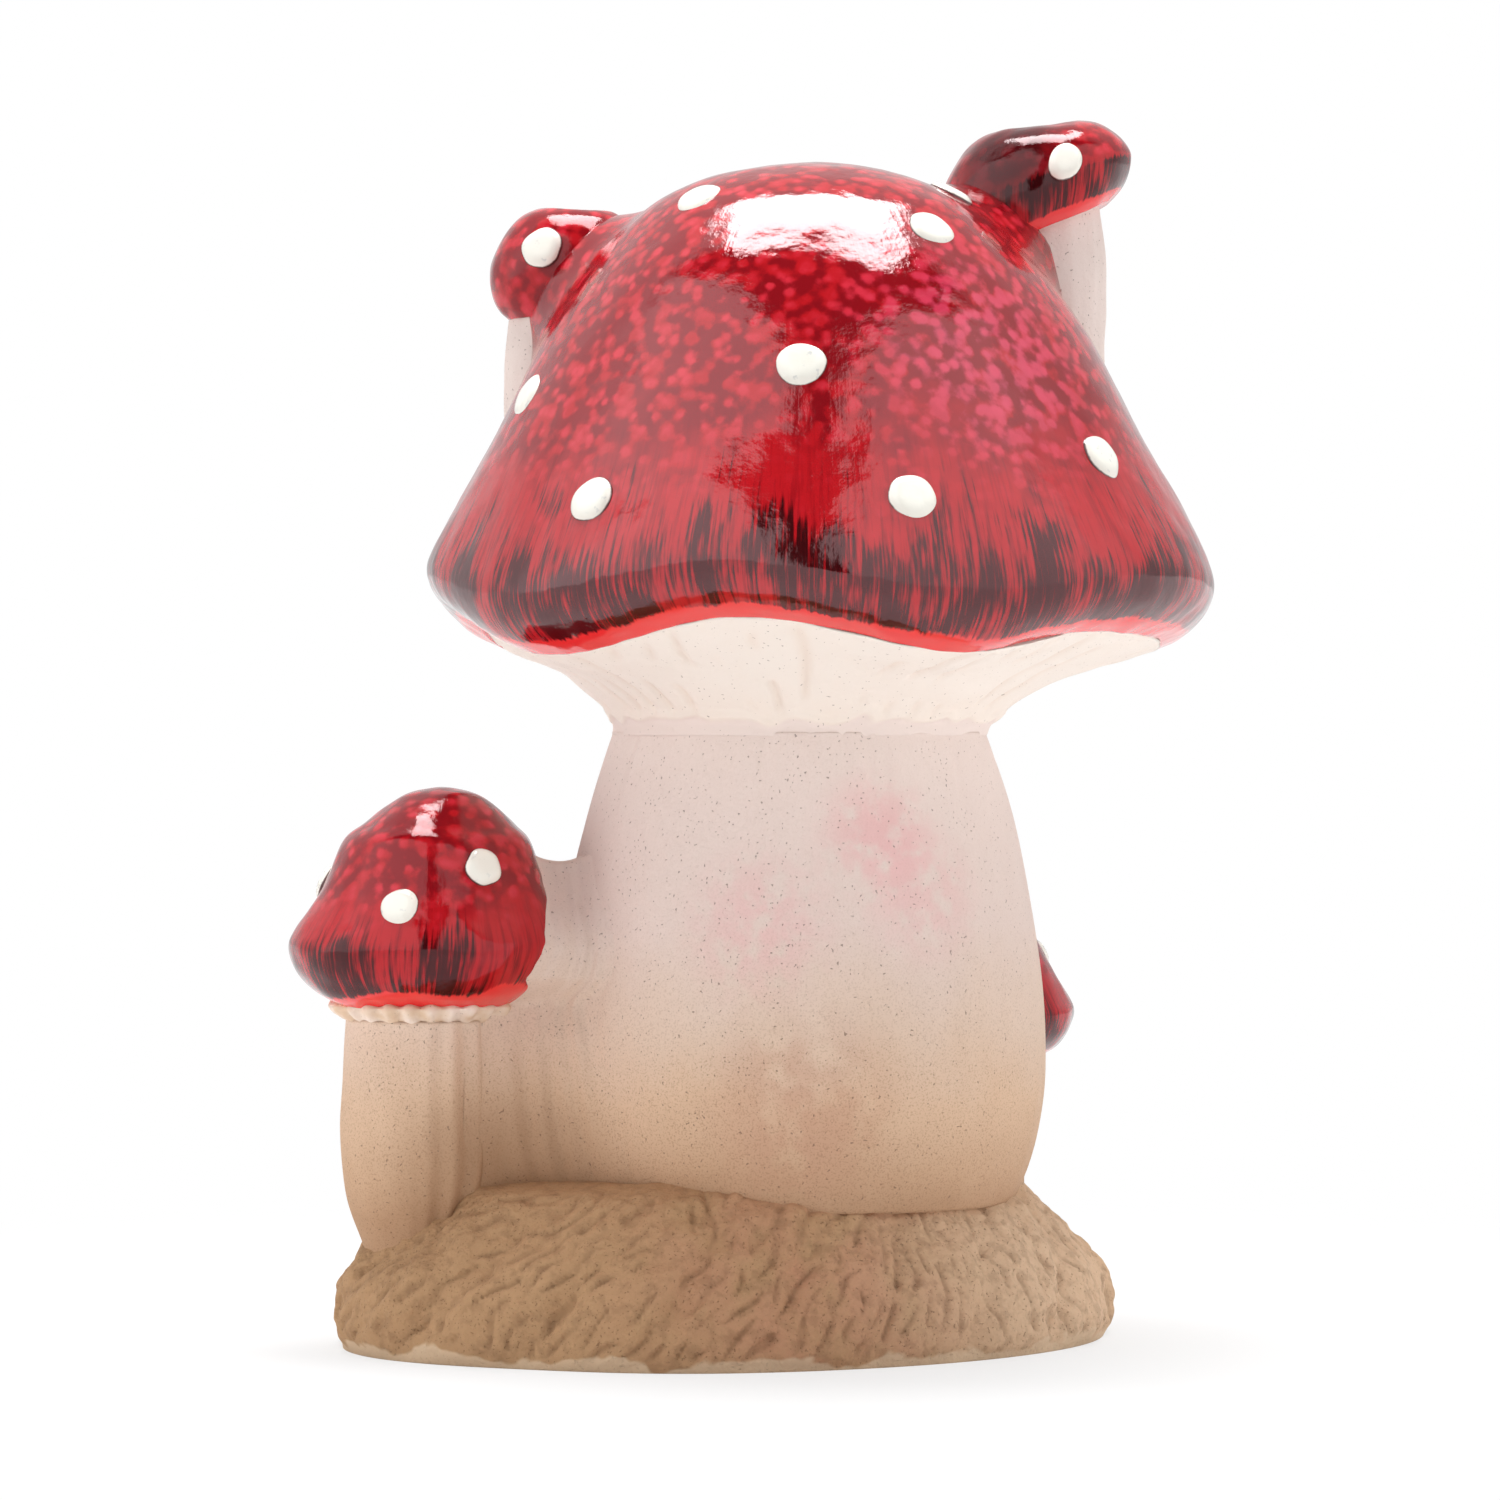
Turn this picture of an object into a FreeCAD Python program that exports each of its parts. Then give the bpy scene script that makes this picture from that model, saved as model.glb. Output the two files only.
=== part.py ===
import FreeCAD, Part
import math
import os
import Sketcher

# Ceramic mushroom ornament: one large toadstool on a carved ground mound, with four small ones growing
# from it. Millimetres, +Z up, the front towards -Y, origin on the ground under the middle of the ornament.

DOCUMENT_NAME = "mushroom_ornament"

# Each row of the sheet: alias, value, what it measures. Lengths in millimetres, angles in degrees.
SIZES = (
    ("wall", 5.0, "thickness of the cast shell"),
    ("stem_offset", 8.4, "middle of the ornament to the axis of the large stem"),
    ("stem_foot_height", 24.0, "ground to the foot of the large stem"),
    ("stem_foot_radius", 35.8, "large stem where it stands in the mound"),
    ("stem_belly_height", 46.0, "ground to the widest place of the large stem"),
    ("stem_belly_radius", 41.2, "large stem at its widest"),
    ("neck_height", 101.5, "ground to the neck ring under the gills"),
    ("neck_radius", 31.5, "large stem and gills at the neck ring"),
    ("seam_height", 117.5, "ground to the seam of gills and cap"),
    ("cap_radius", 66.0, "large cap at its rim"),
    ("cap_height", 79.9, "seam to the top of the large cap"),
    ("cap_shift", 3.5, "axis of the large stem to the middle of the large cap"),
    ("cap_lean", -1.8, "middle of the large cap to its top"),
    ("rim_wave", 2.8, "rise and dip of the rim about the seam height"),
    ("rim_wave_turn", 23.0, "first dip of the rim, turned from the front to the right"),
    ("mound_length", 134.8, "carved mound along its long axis"),
    ("mound_depth", 99.0, "carved mound across its long axis"),
    ("mound_height", 28.0, "ground to the top of the mound"),
    ("mound_shift", -12.3, "axis of the large stem to the middle of the mound"),
    ("mound_turn", 20.0, "long axis of the mound, turned to the back on the right"),
    ("furrow_depth", 1.8, "carved furrows round the side of the mound"),
    ("pour_hole_radius", 14.0, "round hole in the floor of the mound"),
    ("front_left_gap", 21.95, "large stem at its widest to the axis of the front left toadstool"),
    ("front_left_turn", -169.05, "its place round the large stem, against the clock from the right"),
    ("front_left_stem_radius", 14.3, "its stem at the widest"),
    ("front_left_stem_web", 8.6, "clay that joins its stem to the large one"),
    ("front_left_stem_top", 54.0, "ground to the top of its stem"),
    ("front_left_collar_height", 3.0, "crimped collar between its stem and its cap"),
    ("front_left_cap_radius", 23.4, "its cap at the widest"),
    ("front_left_cap_height", 35.7, "its cap from collar to top"),
    ("front_left_cap_lean", 2.6, "middle of its cap to the top"),
    ("rear_right_gap", 0.9, "large stem at its widest to the axis of the rear right toadstool"),
    ("rear_right_turn", 47.4, "its place round the large stem, against the clock from the right"),
    ("rear_right_stem_radius", 10.6, "its stem at the widest"),
    ("rear_right_stem_top", 42.5, "ground to the top of its stem"),
    ("rear_right_collar_height", 3.0, "crimped collar between its stem and its cap"),
    ("rear_right_cap_radius", 19.8, "its cap at the widest"),
    ("rear_right_cap_height", 29.5, "its cap from collar to top"),
    ("rear_right_cap_lean", -1.5, "middle of its cap to the top"),
    ("top_left_inset", 23.2, "left end of the large cap to the axis of the top left toadstool"),
    ("top_left_back", 12.0, "axis of the large stem to its axis, towards the back"),
    ("top_left_stem_radius", 11.0, "its stem at the widest"),
    ("top_left_stem_length", 27.0, "its stem, with what the large cap hides"),
    ("top_left_cap_radius", 13.0, "its cap at the widest"),
    ("top_left_drop", 25.0, "top of the large cap down to the underside of its cap"),
    ("top_left_cap_height", 18.9, "its cap from underside to top"),
    ("top_left_cap_rise", 0.6, "rim of its cap on the right over its middle"),
    ("top_right_inset", 29.3, "right end of the large cap to the axis of the top right toadstool"),
    ("top_right_back", 20.0, "axis of the large stem to its axis, towards the back"),
    ("top_right_stem_radius", 12.6, "its stem at the widest"),
    ("top_right_stem_length", 33.0, "its stem, with what the large cap hides"),
    ("top_right_cap_radius", 16.6, "its cap at the widest"),
    ("top_right_drop", 10.4, "top of the large cap down to the underside of its cap"),
    ("top_right_cap_height", 19.2, "its cap from underside to top"),
    ("top_right_cap_rise", 2.2, "rim of its cap on the right over its middle"),
    ("dot_radius", 4.1, "white enamel dots of the large cap"),
    ("small_dot_radius", 3.3, "white enamel dots of the small caps"),
    ("dot_thickness", 1.1, "how far a dot stands out of the glaze"),
    ("stem_end_share", 0.90, "foot and top of a small stem, against its widest radius"),
    ("stem_belly_share", 0.45, "place of a small stem's widest radius, along its length"),
)

# Outline of each form, from its top down: share of its height, share of its radius. The third value
# of the large cap is the share of the rim's wave that the place takes, and the mound's is the share of
# the furrows' depth.
CAP_SHARES = (
    (0.998, 0.075, 0.0),
    (0.968, 0.261, 0.0),
    (0.904, 0.420, 0.0),
    (0.795, 0.556, 0.0),
    (0.672, 0.665, 0.0),
    (0.536, 0.757, 0.0),
    (0.399, 0.838, 0.1),
    (0.273, 0.920, 0.3),
    (0.175, 0.980, 0.6),
    (0.115, 1.000, 0.8),
    (0.064, 0.979, 0.9),
    (0.024, 0.927, 1.0),
    (0.000, 0.864, 1.0),
)
GILL_SHARES = (
    (0.788, 0.678, 0.6),
    (0.631, 0.439, 0.3),
    (0.469, 0.259, 0.1),
    (0.312, 0.118, 0.0),
    (0.156, 0.020, 0.0),
    (0.000, 0.000, 0.0),
)
MOUND_SHARES = (
    (1.000, 0.600, 0.0),
    (0.950, 0.720, 0.3),
    (0.830, 0.800, 0.8),
    (0.650, 0.880, 1.0),
    (0.470, 0.955, 1.0),
    (0.290, 0.993, 1.0),
    (0.115, 1.000, 0.7),
    (0.000, 0.975, 0.0),
)
HOLLOW_SHARES = (
    (1.000, 0.860, 0.0),
    (0.400, 0.960, 0.0),
    (0.000, 0.985, 0.0),
)
BELL_SHARES = (
    (0.995, 0.100),
    (0.970, 0.270),
    (0.900, 0.430),
    (0.830, 0.545),
    (0.760, 0.655),
    (0.616, 0.760),
    (0.479, 0.855),
    (0.342, 0.965),
    (0.272, 1.000),
    (0.200, 0.975),
    (0.130, 0.915),
    (0.062, 0.810),
    (0.000, 0.640),
)
BUTTON_SHARES = (
    (0.995, 0.160),
    (0.970, 0.420),
    (0.900, 0.660),
    (0.740, 0.860),
    (0.540, 0.980),
    (0.390, 1.000),
    (0.210, 0.970),
    (0.080, 0.900),
    (0.000, 0.800),
)
WEBBED_STEM_SHARES = (
    (1.00, 0.940),
    (0.82, 0.985),
    (0.66, 1.000),
    (0.48, 0.945),
    (0.32, 0.760),
    (0.12, 0.560),
)

RING_POINTS = 20
RIM_WAVES = 5
COLLAR_CRIMPS = 10
CRIMP_SHARE = 0.035
FURROWS = 17
FURROW_POINTS = 6
FURROW_SLANT = 5.6
DENT_SHARE = 0.07
DENT_ANGLE = -129.0
DENT_SPREAD = 24.0
FRONT_ANGLE = -90.0
TOUCH = 0.000001

# White dots: angle round the cap from the right hand side, against the clock seen from above, and
# share of the cap's height.
MAIN_DOTS = (
    (-134.0, 0.908),
    (-8.0, 0.935),
    (-56.1, 0.835),
    (-93.6, 0.538),
    (-158.7, 0.501),
    (-127.6, 0.275),
    (-76.7, 0.271),
    (-36.5, 0.370),
    (35.0, 0.300),
    (62.0, 0.680),
    (92.0, 0.380),
    (118.0, 0.800),
    (139.0, 0.520),
    (166.0, 0.270),
)
FRONT_LEFT_DOTS = ((-102.6, 0.462), (-60.9, 0.636), (170.0, 0.560), (95.0, 0.430))
REAR_RIGHT_DOTS = ((20.0, 0.600), (70.0, 0.430), (125.0, 0.620))
TOP_LEFT_DOTS = ((-109.2, 0.588), (150.0, 0.640))
TOP_RIGHT_DOTS = ((-73.8, 0.592), (50.0, 0.640))

# Where each small toadstool stands: from the axis of the large stem to its own, to the right and to
# the back, and from the ground to the underside of its cap.
SIDES = {
    "front_left": "(Sizes.stem_belly_radius + Sizes.front_left_gap) * cos(Sizes.front_left_turn)",
    "rear_right": "(Sizes.stem_belly_radius + Sizes.rear_right_gap) * cos(Sizes.rear_right_turn)",
    "top_left": "Sizes.cap_shift - Sizes.cap_radius + Sizes.top_left_inset",
    "top_right": "Sizes.cap_shift + Sizes.cap_radius - Sizes.top_right_inset",
}
BACKS = {
    "front_left": "(Sizes.stem_belly_radius + Sizes.front_left_gap) * sin(Sizes.front_left_turn)",
    "rear_right": "(Sizes.stem_belly_radius + Sizes.rear_right_gap) * sin(Sizes.rear_right_turn)",
    "top_left": "Sizes.top_left_back",
    "top_right": "Sizes.top_right_back",
}
CAP_FEET = {
    "front_left": "Sizes.front_left_stem_top + Sizes.front_left_collar_height",
    "rear_right": "Sizes.rear_right_stem_top + Sizes.rear_right_collar_height",
    "top_left": "Sizes.seam_height + Sizes.cap_height - Sizes.top_left_drop",
    "top_right": "Sizes.seam_height + Sizes.cap_height - Sizes.top_right_drop",
}


def make_sheet(doc):
    """Spreadsheet of the driving sizes, one alias a row."""
    sheet = doc.addObject("Spreadsheet::Sheet", "Sizes")
    for row, (alias, value, note) in enumerate(SIZES, start=1):
        sheet.set("A%d" % row, alias)
        sheet.set("B%d" % row, str(value))
        sheet.set("C%d" % row, note)
        sheet.setAlias("B%d" % row, alias)
    doc.recompute()
    return sheet


doc = FreeCAD.newDocument(DOCUMENT_NAME)
sheet = make_sheet(doc)


def size(alias):
    """Value of one cell of the sheet."""
    return float(sheet.get(alias))


def bind(target, **cells):
    """Binds properties of an object to formulas of the sheet's cells."""
    for name, formula in cells.items():
        target.setExpression(name, formula)


def place(target, side, back):
    """Stands an object beside the large stem, bound to two cells."""
    target.setExpression(".Placement.Base.x", side)
    target.setExpression(".Placement.Base.y", back)


# Closed rings, and the surfaces and solids that run through them


def ring(plan, reach, middle, rise=lambda angle: 0.0, count=RING_POINTS):
    """Smooth closed wire: plan gives the outline for a reach of one, rise the height over its middle."""
    points = []
    for step in range(count):
        angle = 2 * math.pi * step / count
        across, along = plan(angle)
        points.append(middle + FreeCAD.Vector(reach * across, reach * along, rise(angle)))
    curve = Part.BSplineCurve()
    curve.interpolate(Points=points, PeriodicFlag=True)
    return Part.Wire([curve.toShape()])


def circle(angle):
    """Plan of a round piece."""
    return math.cos(angle), math.sin(angle)


def skin(rings):
    """Faces of the surface through a row of rings, one band between each two."""
    return Part.makeLoft(rings, False, True).Faces


def form_of(rings):
    """Solid of a form from its top, a point or a flat ring, down to its flat foot."""
    return Part.makeLoft(rings, True, True)


def finer(rows):
    """Rows of an outline with one more between each two, on the cubic through the four around it."""
    padded = [rows[0], *rows, rows[-1]]
    between = [
        tuple((9 * (b + c) - a - d) / 16 for a, b, c, d in zip(*four))
        for four in zip(padded, padded[1:], padded[2:], padded[3:])
    ]
    return [row for pair in zip(rows, between) for row in pair] + [rows[-1]]


def closed(faces):
    """Solid inside a closed set of faces."""
    shell = Part.Shell(faces)
    shell.sewShape()
    solid = Part.Solid(Part.Shell(shell.Faces))
    if solid.Volume < 0:
        solid.reverse()
    return solid


def feature(name, shape):
    """Document object that holds a freely formed shape."""
    target = doc.addObject("Part::Feature", name)
    target.Shape = shape
    return target


def cut(name, base, *tools):
    """Base without its tools, as a chain of cuts whose last one has the name."""
    for index, tool in enumerate(tools):
        last = index == len(tools) - 1
        target = doc.addObject("Part::Cut", name if last else "%s_cut_%d" % (name, index + 1))
        target.Base = base
        target.Tool = tool
        base = target
    return base


# Turned stems


def barrel(name, foot, belly, top, side, back):
    """Body turned about its axis: two arcs that meet at the belly. Foot, belly and top are pairs of
    formulas, radius and height."""
    body = doc.addObject("PartDesign::Body", name)
    sketch = body.newObject("Sketcher::SketchObject", name + "_profile")
    plane = [item for item in body.Origin.OriginFeatures if item.Role == "XZ_Plane"][0]
    sketch.AttachmentSupport = [(plane, "")]
    sketch.MapMode = "FlatFace"
    corners = [[value_of(formula) for formula in pair] for pair in (foot, belly, top)]
    (foot_r, foot_z), (belly_r, belly_z), (top_r, top_z) = corners
    normal = FreeCAD.Vector(0, 0, 1)
    sketch.addGeometry(segment(0, top_z, 0, foot_z))
    sketch.addGeometry(segment(0, foot_z, foot_r, foot_z))
    for end_r, end_z in ((foot_r, foot_z), (top_r, top_z)):
        radius = ((belly_r - end_r) ** 2 + (end_z - belly_z) ** 2) / (2 * (belly_r - end_r))
        turn = math.asin((end_z - belly_z) / radius)
        arc_circle = Part.Circle(FreeCAD.Vector(belly_r - radius, belly_z, 0), normal, radius)
        sketch.addGeometry(Part.ArcOfCircle(arc_circle, min(turn, 0), max(turn, 0)))
    sketch.addGeometry(segment(top_r, top_z, 0, top_z))
    axis, floor, low_arc, high_arc, roof = range(5)
    start, end, centre = 1, 2, 3
    joints = (
        (axis, end, floor, start),
        (floor, end, low_arc, start),
        (low_arc, end, high_arc, start),
        (high_arc, end, roof, start),
        (roof, end, axis, start),
    )
    for joint in joints:
        sketch.addConstraint(Sketcher.Constraint("Coincident", *joint))
    sketch.addConstraint(Sketcher.Constraint("PointOnObject", axis, start, -2))
    sketch.addConstraint(Sketcher.Constraint("PointOnObject", axis, end, -2))
    sketch.addConstraint(Sketcher.Constraint("Horizontal", floor))
    sketch.addConstraint(Sketcher.Constraint("Horizontal", roof))
    pins = (
        ("foot_radius", "DistanceX", floor, end, foot_r, foot[0]),
        ("foot_height", "DistanceY", floor, end, foot_z, foot[1]),
        ("belly_radius", "DistanceX", low_arc, end, belly_r, belly[0]),
        ("belly_height", "DistanceY", low_arc, end, belly_z, belly[1]),
        ("top_radius", "DistanceX", high_arc, end, top_r, top[0]),
        ("top_height", "DistanceY", high_arc, end, top_z, top[1]),
        ("low_centre", "DistanceY", low_arc, centre, belly_z, belly[1]),
        ("high_centre", "DistanceY", high_arc, centre, belly_z, belly[1]),
    )
    for pin_name, kind, piece, point, value, formula in pins:
        index = sketch.addConstraint(Sketcher.Constraint(kind, -1, 1, piece, point, value))
        sketch.renameConstraint(index, pin_name)
        sketch.setExpression("Constraints." + pin_name, formula)
    turned = body.newObject("PartDesign::Revolution", name + "_turned")
    turned.Profile = sketch
    turned.ReferenceAxis = (sketch, ["V_Axis"])
    turned.Angle = 360
    sketch.Visibility = False
    body.Tip = turned
    place(body, side, back)
    return body


def segment(from_x, from_y, to_x, to_y):
    """Straight line of a sketch."""
    return Part.LineSegment(FreeCAD.Vector(from_x, from_y, 0), FreeCAD.Vector(to_x, to_y, 0))


def value_of(formula):
    """Number that a formula of sheet cells stands for."""
    return float(sheet.evalExpression(formula))


# Large stem: a cast barrel, open at both ends


def stem_barrel(name, inset):
    """Large stem's form, drawn in by an inset."""
    return barrel(
        name,
        ("Sizes.stem_foot_radius - %s" % inset, "Sizes.stem_foot_height"),
        ("Sizes.stem_belly_radius - %s" % inset, "Sizes.stem_belly_height"),
        ("Sizes.neck_radius - %s" % inset, "Sizes.neck_height"),
        "Sizes.stem_offset",
        "0",
    )


stem_core = stem_barrel("stem_core", "0")
stem_bore = stem_barrel("stem_bore", "Sizes.wall")
main_stem = cut("main_stem", stem_core, stem_bore)


# Head: the glazed dome and the gills below it, two castings that meet at the wavy seam


def cap_middle(share):
    """Middle of the large cap's ring at a share of its height: the axis leans towards the top."""
    return FreeCAD.Vector(
        size("stem_offset") + size("cap_shift") + size("cap_lean") * share ** 2,
        0,
        size("seam_height") + size("cap_height") * share,
    )


def rim_rise(share):
    """Height of the rim's wave by angle, for a ring that takes a share of it."""
    first_dip = math.radians(FRONT_ANGLE + size("rim_wave_turn"))

    def rise(angle):
        return -share * size("rim_wave") * math.cos(RIM_WAVES * (angle - first_dip))

    return rise


def inset(profile, wall):
    """Radius and height pairs of a profile, moved inwards at right angles to it by the wall."""
    moved = []
    neighbours = zip(profile[:1] + profile, profile[1:] + profile[-1:])
    for (radius, height), (above, below) in zip(profile, neighbours):
        run = below[0] - above[0]
        drop = above[1] - below[1]
        length = math.hypot(run, drop)
        moved.append((radius - wall * drop / length, height - wall * run / length))
    return moved


def head_rings(profile, waves, shares):
    """Rings of the head for radius and height pairs, their shares of the wave and of the cap's lean."""
    rings = []
    for (radius, height), wave, share in zip(profile, waves, shares):
        middle = cap_middle(max(share, 0))
        middle.x += min(share, 0) * size("cap_shift")
        middle.z = height
        rings.append(ring(circle, radius, middle, rim_rise(wave)))
    return rings


def build_head():
    """Cap shell, gill shell and the closed form of the cap, which trims what stands on it."""
    seam_height, cap_height, wall = size("seam_height"), size("cap_height"), size("wall")
    rows = finer(CAP_SHARES)
    cap_profile = [(size("cap_radius") * r, seam_height + cap_height * h) for h, r, wave in rows]
    cap_waves = [wave for h, r, wave in rows]
    cap_leans = [h for h, r, wave in rows]
    outer = head_rings(cap_profile, cap_waves, cap_leans)
    top = Part.Vertex(cap_middle(1))
    cap_skin = skin([top] + outer)

    # The lining, which nothing shows, takes every third ring.
    inner = head_rings(inset(cap_profile, wall)[::3], cap_waves[::3], cap_leans[::3])
    inner_top = Part.Vertex(cap_middle(1) - FreeCAD.Vector(0, 0, wall))
    cap_lining = skin([inner_top] + inner)
    seam = skin([outer[-1], inner[-1]])
    cap_shell = closed(cap_skin + cap_lining + seam)

    hub = Part.Vertex(cap_middle(0))
    cap_form = closed(cap_skin + skin([outer[-1], hub]))

    neck_radius, neck_height = size("neck_radius"), size("neck_height")
    seam_radius = cap_profile[-1][0]
    gill_profile = [
        (neck_radius + (seam_radius - neck_radius) * r, neck_height + (seam_height - neck_height) * h)
        for h, r, wave in GILL_SHARES
    ]
    gill_waves = [wave for h, r, wave in GILL_SHARES]
    gill_leans = [h - 1 for h, r, wave in GILL_SHARES]
    gill_rings = head_rings(gill_profile, gill_waves, gill_leans)
    bore_profile = inset([cap_profile[-1]] + gill_profile, wall)[1:]
    bore_profile[-1] = (neck_radius - wall, neck_height)
    bore_rings = head_rings(bore_profile, gill_waves, gill_leans)
    gill_skin = skin([outer[-1]] + gill_rings)
    gill_lining = skin([inner[-1]] + bore_rings)
    neck = skin([gill_rings[-1], bore_rings[-1]])
    gill_shell = closed(gill_skin + gill_lining + seam + neck)
    return cap_shell, gill_shell, cap_form


cap_shell, gill_shell, cap_form = build_head()
main_cap = feature("main_cap", cap_shell)
gill_funnel = feature("gill_funnel", gill_shell)
cap_core = feature("cap_core", cap_form)

# Ground mound: an egg-shaped heap with a shallow dent on its front left side


def mound_plan(angle):
    """Plan of the mound for a length of two: an oval turned on the ground, with its dent."""
    turn = math.radians(size("mound_turn"))
    slim = size("mound_depth") / size("mound_length")
    along = math.cos(angle - turn)
    across = math.sin(angle - turn)
    reach = slim / math.hypot(slim * along, across)
    off_dent = (math.degrees(angle) - DENT_ANGLE + 180) % 360 - 180
    reach *= 1 - DENT_SHARE * math.exp(-((off_dent / DENT_SPREAD) ** 2))
    return reach * math.cos(angle), reach * math.sin(angle)


def mound_rings(inset_size, rows, floor, roof):
    """Rings of the mound's outline, drawn in by an inset and laid between a floor and a roof height. A
    furrow runs up the side on a slant, as deep as its row's share says."""
    rings = []
    side = size("stem_offset") + size("mound_shift")
    for height_share, reach_share, furrow_share in rows:
        reach = size("mound_length") / 2 * reach_share - inset_size
        depth = size("furrow_depth") * furrow_share / reach

        def plan(angle, slant=FURROW_SLANT * height_share, depth=depth):
            across, along = mound_plan(angle)
            left = 1 - depth * max(0.0, math.cos(FURROWS * angle - slant)) ** 2
            return left * across, left * along

        middle = FreeCAD.Vector(side, 0, floor + (roof - floor) * height_share)
        rings.append(ring(plan, reach, middle, count=FURROWS * FURROW_POINTS))
    return rings


mound_core = feature(
    "mound_core", form_of(mound_rings(0, MOUND_SHARES, 0, size("mound_height")))
)
hollow_roof = size("stem_foot_height") - size("wall")
mound_hollow = feature(
    "mound_hollow", form_of(mound_rings(size("wall"), HOLLOW_SHARES, size("wall"), hollow_roof))
)
stem_passage = doc.addObject("Part::Cylinder", "stem_passage")
bind(
    stem_passage,
    Radius="Sizes.stem_foot_radius - Sizes.wall",
    Height="Sizes.stem_foot_height - 2 * Sizes.wall",
)
place(stem_passage, "Sizes.stem_offset", "0")
stem_passage.setExpression(".Placement.Base.z", "2 * Sizes.wall")
pour_hole = doc.addObject("Part::Cylinder", "pour_hole")
bind(pour_hole, Radius="Sizes.pour_hole_radius", Height="2 * Sizes.wall")
place(pour_hole, "Sizes.stem_offset + Sizes.mound_shift", "0")
base_mound = cut("base_mound", mound_core, stem_core, mound_hollow, stem_passage, pour_hole)


# Small toadstools that stand on the mound: a stem, a crimped collar and a bell-shaped cap


def beside_stem(name, height):
    """Point on the axis of a small toadstool."""
    side, back = value_of(SIDES[name]), value_of(BACKS[name])
    return FreeCAD.Vector(size("stem_offset") + side, back, height)


def cap_rings(name, rows, lean=0.0, rise=0.0):
    """Rings of a small cap from its top down, leaning and rising to the right by two lengths."""
    radius, height = size(name + "_cap_radius"), size(name + "_cap_height")
    foot = value_of(CAP_FEET[name])
    rings = []
    for height_share, radius_share in rows:
        middle = beside_stem(name, foot + height * height_share)
        middle.x += lean * height_share

        def tilt(angle, share=radius_share):
            return rise * share * math.cos(angle)

        rings.append(ring(circle, radius * radius_share, middle, tilt))
    top = beside_stem(name, foot + height) + FreeCAD.Vector(lean, 0, 0)
    return [Part.Vertex(top)] + rings


def collar_plan(angle):
    """Plan of a collar: a circle with a crimped edge."""
    reach = 1 + CRIMP_SHARE * math.cos(COLLAR_CRIMPS * angle)
    return reach * math.cos(angle), reach * math.sin(angle)


def ground_toadstool(name, stem_form, top_radius):
    """Stem, collar and cap of a toadstool on the mound, trimmed where they meet the large stem."""
    cap_foot_radius = size(name + "_cap_radius") * BELL_SHARES[-1][1]
    low = ring(collar_plan, top_radius, beside_stem(name, size(name + "_stem_top")))
    high = ring(collar_plan, cap_foot_radius, beside_stem(name, value_of(CAP_FEET[name])))
    collar_form = feature(name + "_collar_form", form_of([low, high]))
    rings = cap_rings(name, BELL_SHARES, lean=size(name + "_cap_lean"))
    cap_form = feature(name + "_cap_form", form_of(rings))
    stem = cut(name + "_stem", stem_form, stem_core, mound_core)
    collar = cut(name + "_collar", collar_form, stem_core)
    cap = cut(name + "_cap", cap_form, stem_core)
    return [stem, collar, cap], cap_form


def web_plan(angle):
    """Plan of the front left stem: a circle with a web of clay towards the large stem."""
    away = math.radians(size("front_left_turn"))
    web_share = size("front_left_stem_web") / size("front_left_stem_radius")
    reach = 1 + web_share * (0.5 - 0.5 * math.cos(angle - away)) ** 3
    return reach * math.cos(angle), reach * math.sin(angle)


front_left_radius = size("front_left_stem_radius")
web_rings = [
    ring(web_plan, front_left_radius * r, beside_stem("front_left", size("front_left_stem_top") * h))
    for h, r in WEBBED_STEM_SHARES
]
front_left_form = feature("front_left_stem_form", form_of(web_rings))
front_left, front_left_cap_form = ground_toadstool(
    "front_left", front_left_form, front_left_radius * WEBBED_STEM_SHARES[0][1]
)

rear_right_form = barrel(
    "rear_right_stem_form",
    ("Sizes.rear_right_stem_radius * Sizes.stem_end_share", "Sizes.wall"),
    ("Sizes.rear_right_stem_radius", "Sizes.rear_right_stem_top * (1 - Sizes.stem_belly_share)"),
    ("Sizes.rear_right_stem_radius * Sizes.stem_end_share", "Sizes.rear_right_stem_top"),
    "Sizes.stem_offset + " + SIDES["rear_right"],
    BACKS["rear_right"],
)
rear_right, rear_right_cap_form = ground_toadstool(
    "rear_right", rear_right_form, size("rear_right_stem_radius") * size("stem_end_share")
)


# Small toadstools that grow from the large cap: a stem and a button cap, both trimmed by the large cap


def cap_toadstool(name):
    """Stem and cap of a toadstool on the large cap."""
    rings = cap_rings(name, BUTTON_SHARES, rise=size(name + "_cap_rise"))
    cap_form = feature(name + "_cap_form", form_of(rings))
    radius = "Sizes.%s_stem_radius" % name
    top = CAP_FEET[name]
    length = "Sizes.%s_stem_length" % name
    stem_form = barrel(
        name + "_stem_form",
        (radius + " * Sizes.stem_end_share", "%s - %s" % (top, length)),
        (radius, "%s - %s * Sizes.stem_belly_share" % (top, length)),
        (radius + " * Sizes.stem_end_share", "%s + Sizes.%s_cap_rise" % (top, name)),
        "Sizes.stem_offset + " + SIDES[name],
        BACKS[name],
    )
    stem = cut(name + "_stem", stem_form, cap_core, cap_form)
    cap = cut(name + "_cap", cap_form, cap_core)
    return [stem, cap], cap_form


top_left, top_left_cap_form = cap_toadstool("top_left")
top_right, top_right_cap_form = cap_toadstool("top_right")


# White dots: thick enamel laid on the glaze, a slice of a ball each


def point_on(form, middle, outwards):
    """Point where a line from the middle leaves a form, and the form's normal there."""
    line = Part.makeLine(middle, middle + outwards * form.Shape.BoundBox.DiagonalLength)
    reached = []
    for face in form.Shape.Faces:
        gap, pairs, support = face.distToShape(line)
        if gap < TOUCH and support[0][0] == "Face":
            reached.append((pairs[0][0], face.normalAt(*support[0][2])))
    point, normal = max(reached, key=lambda found: (found[0] - middle).Length)
    return point, normal if normal.dot(outwards) > 0 else -normal


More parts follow.
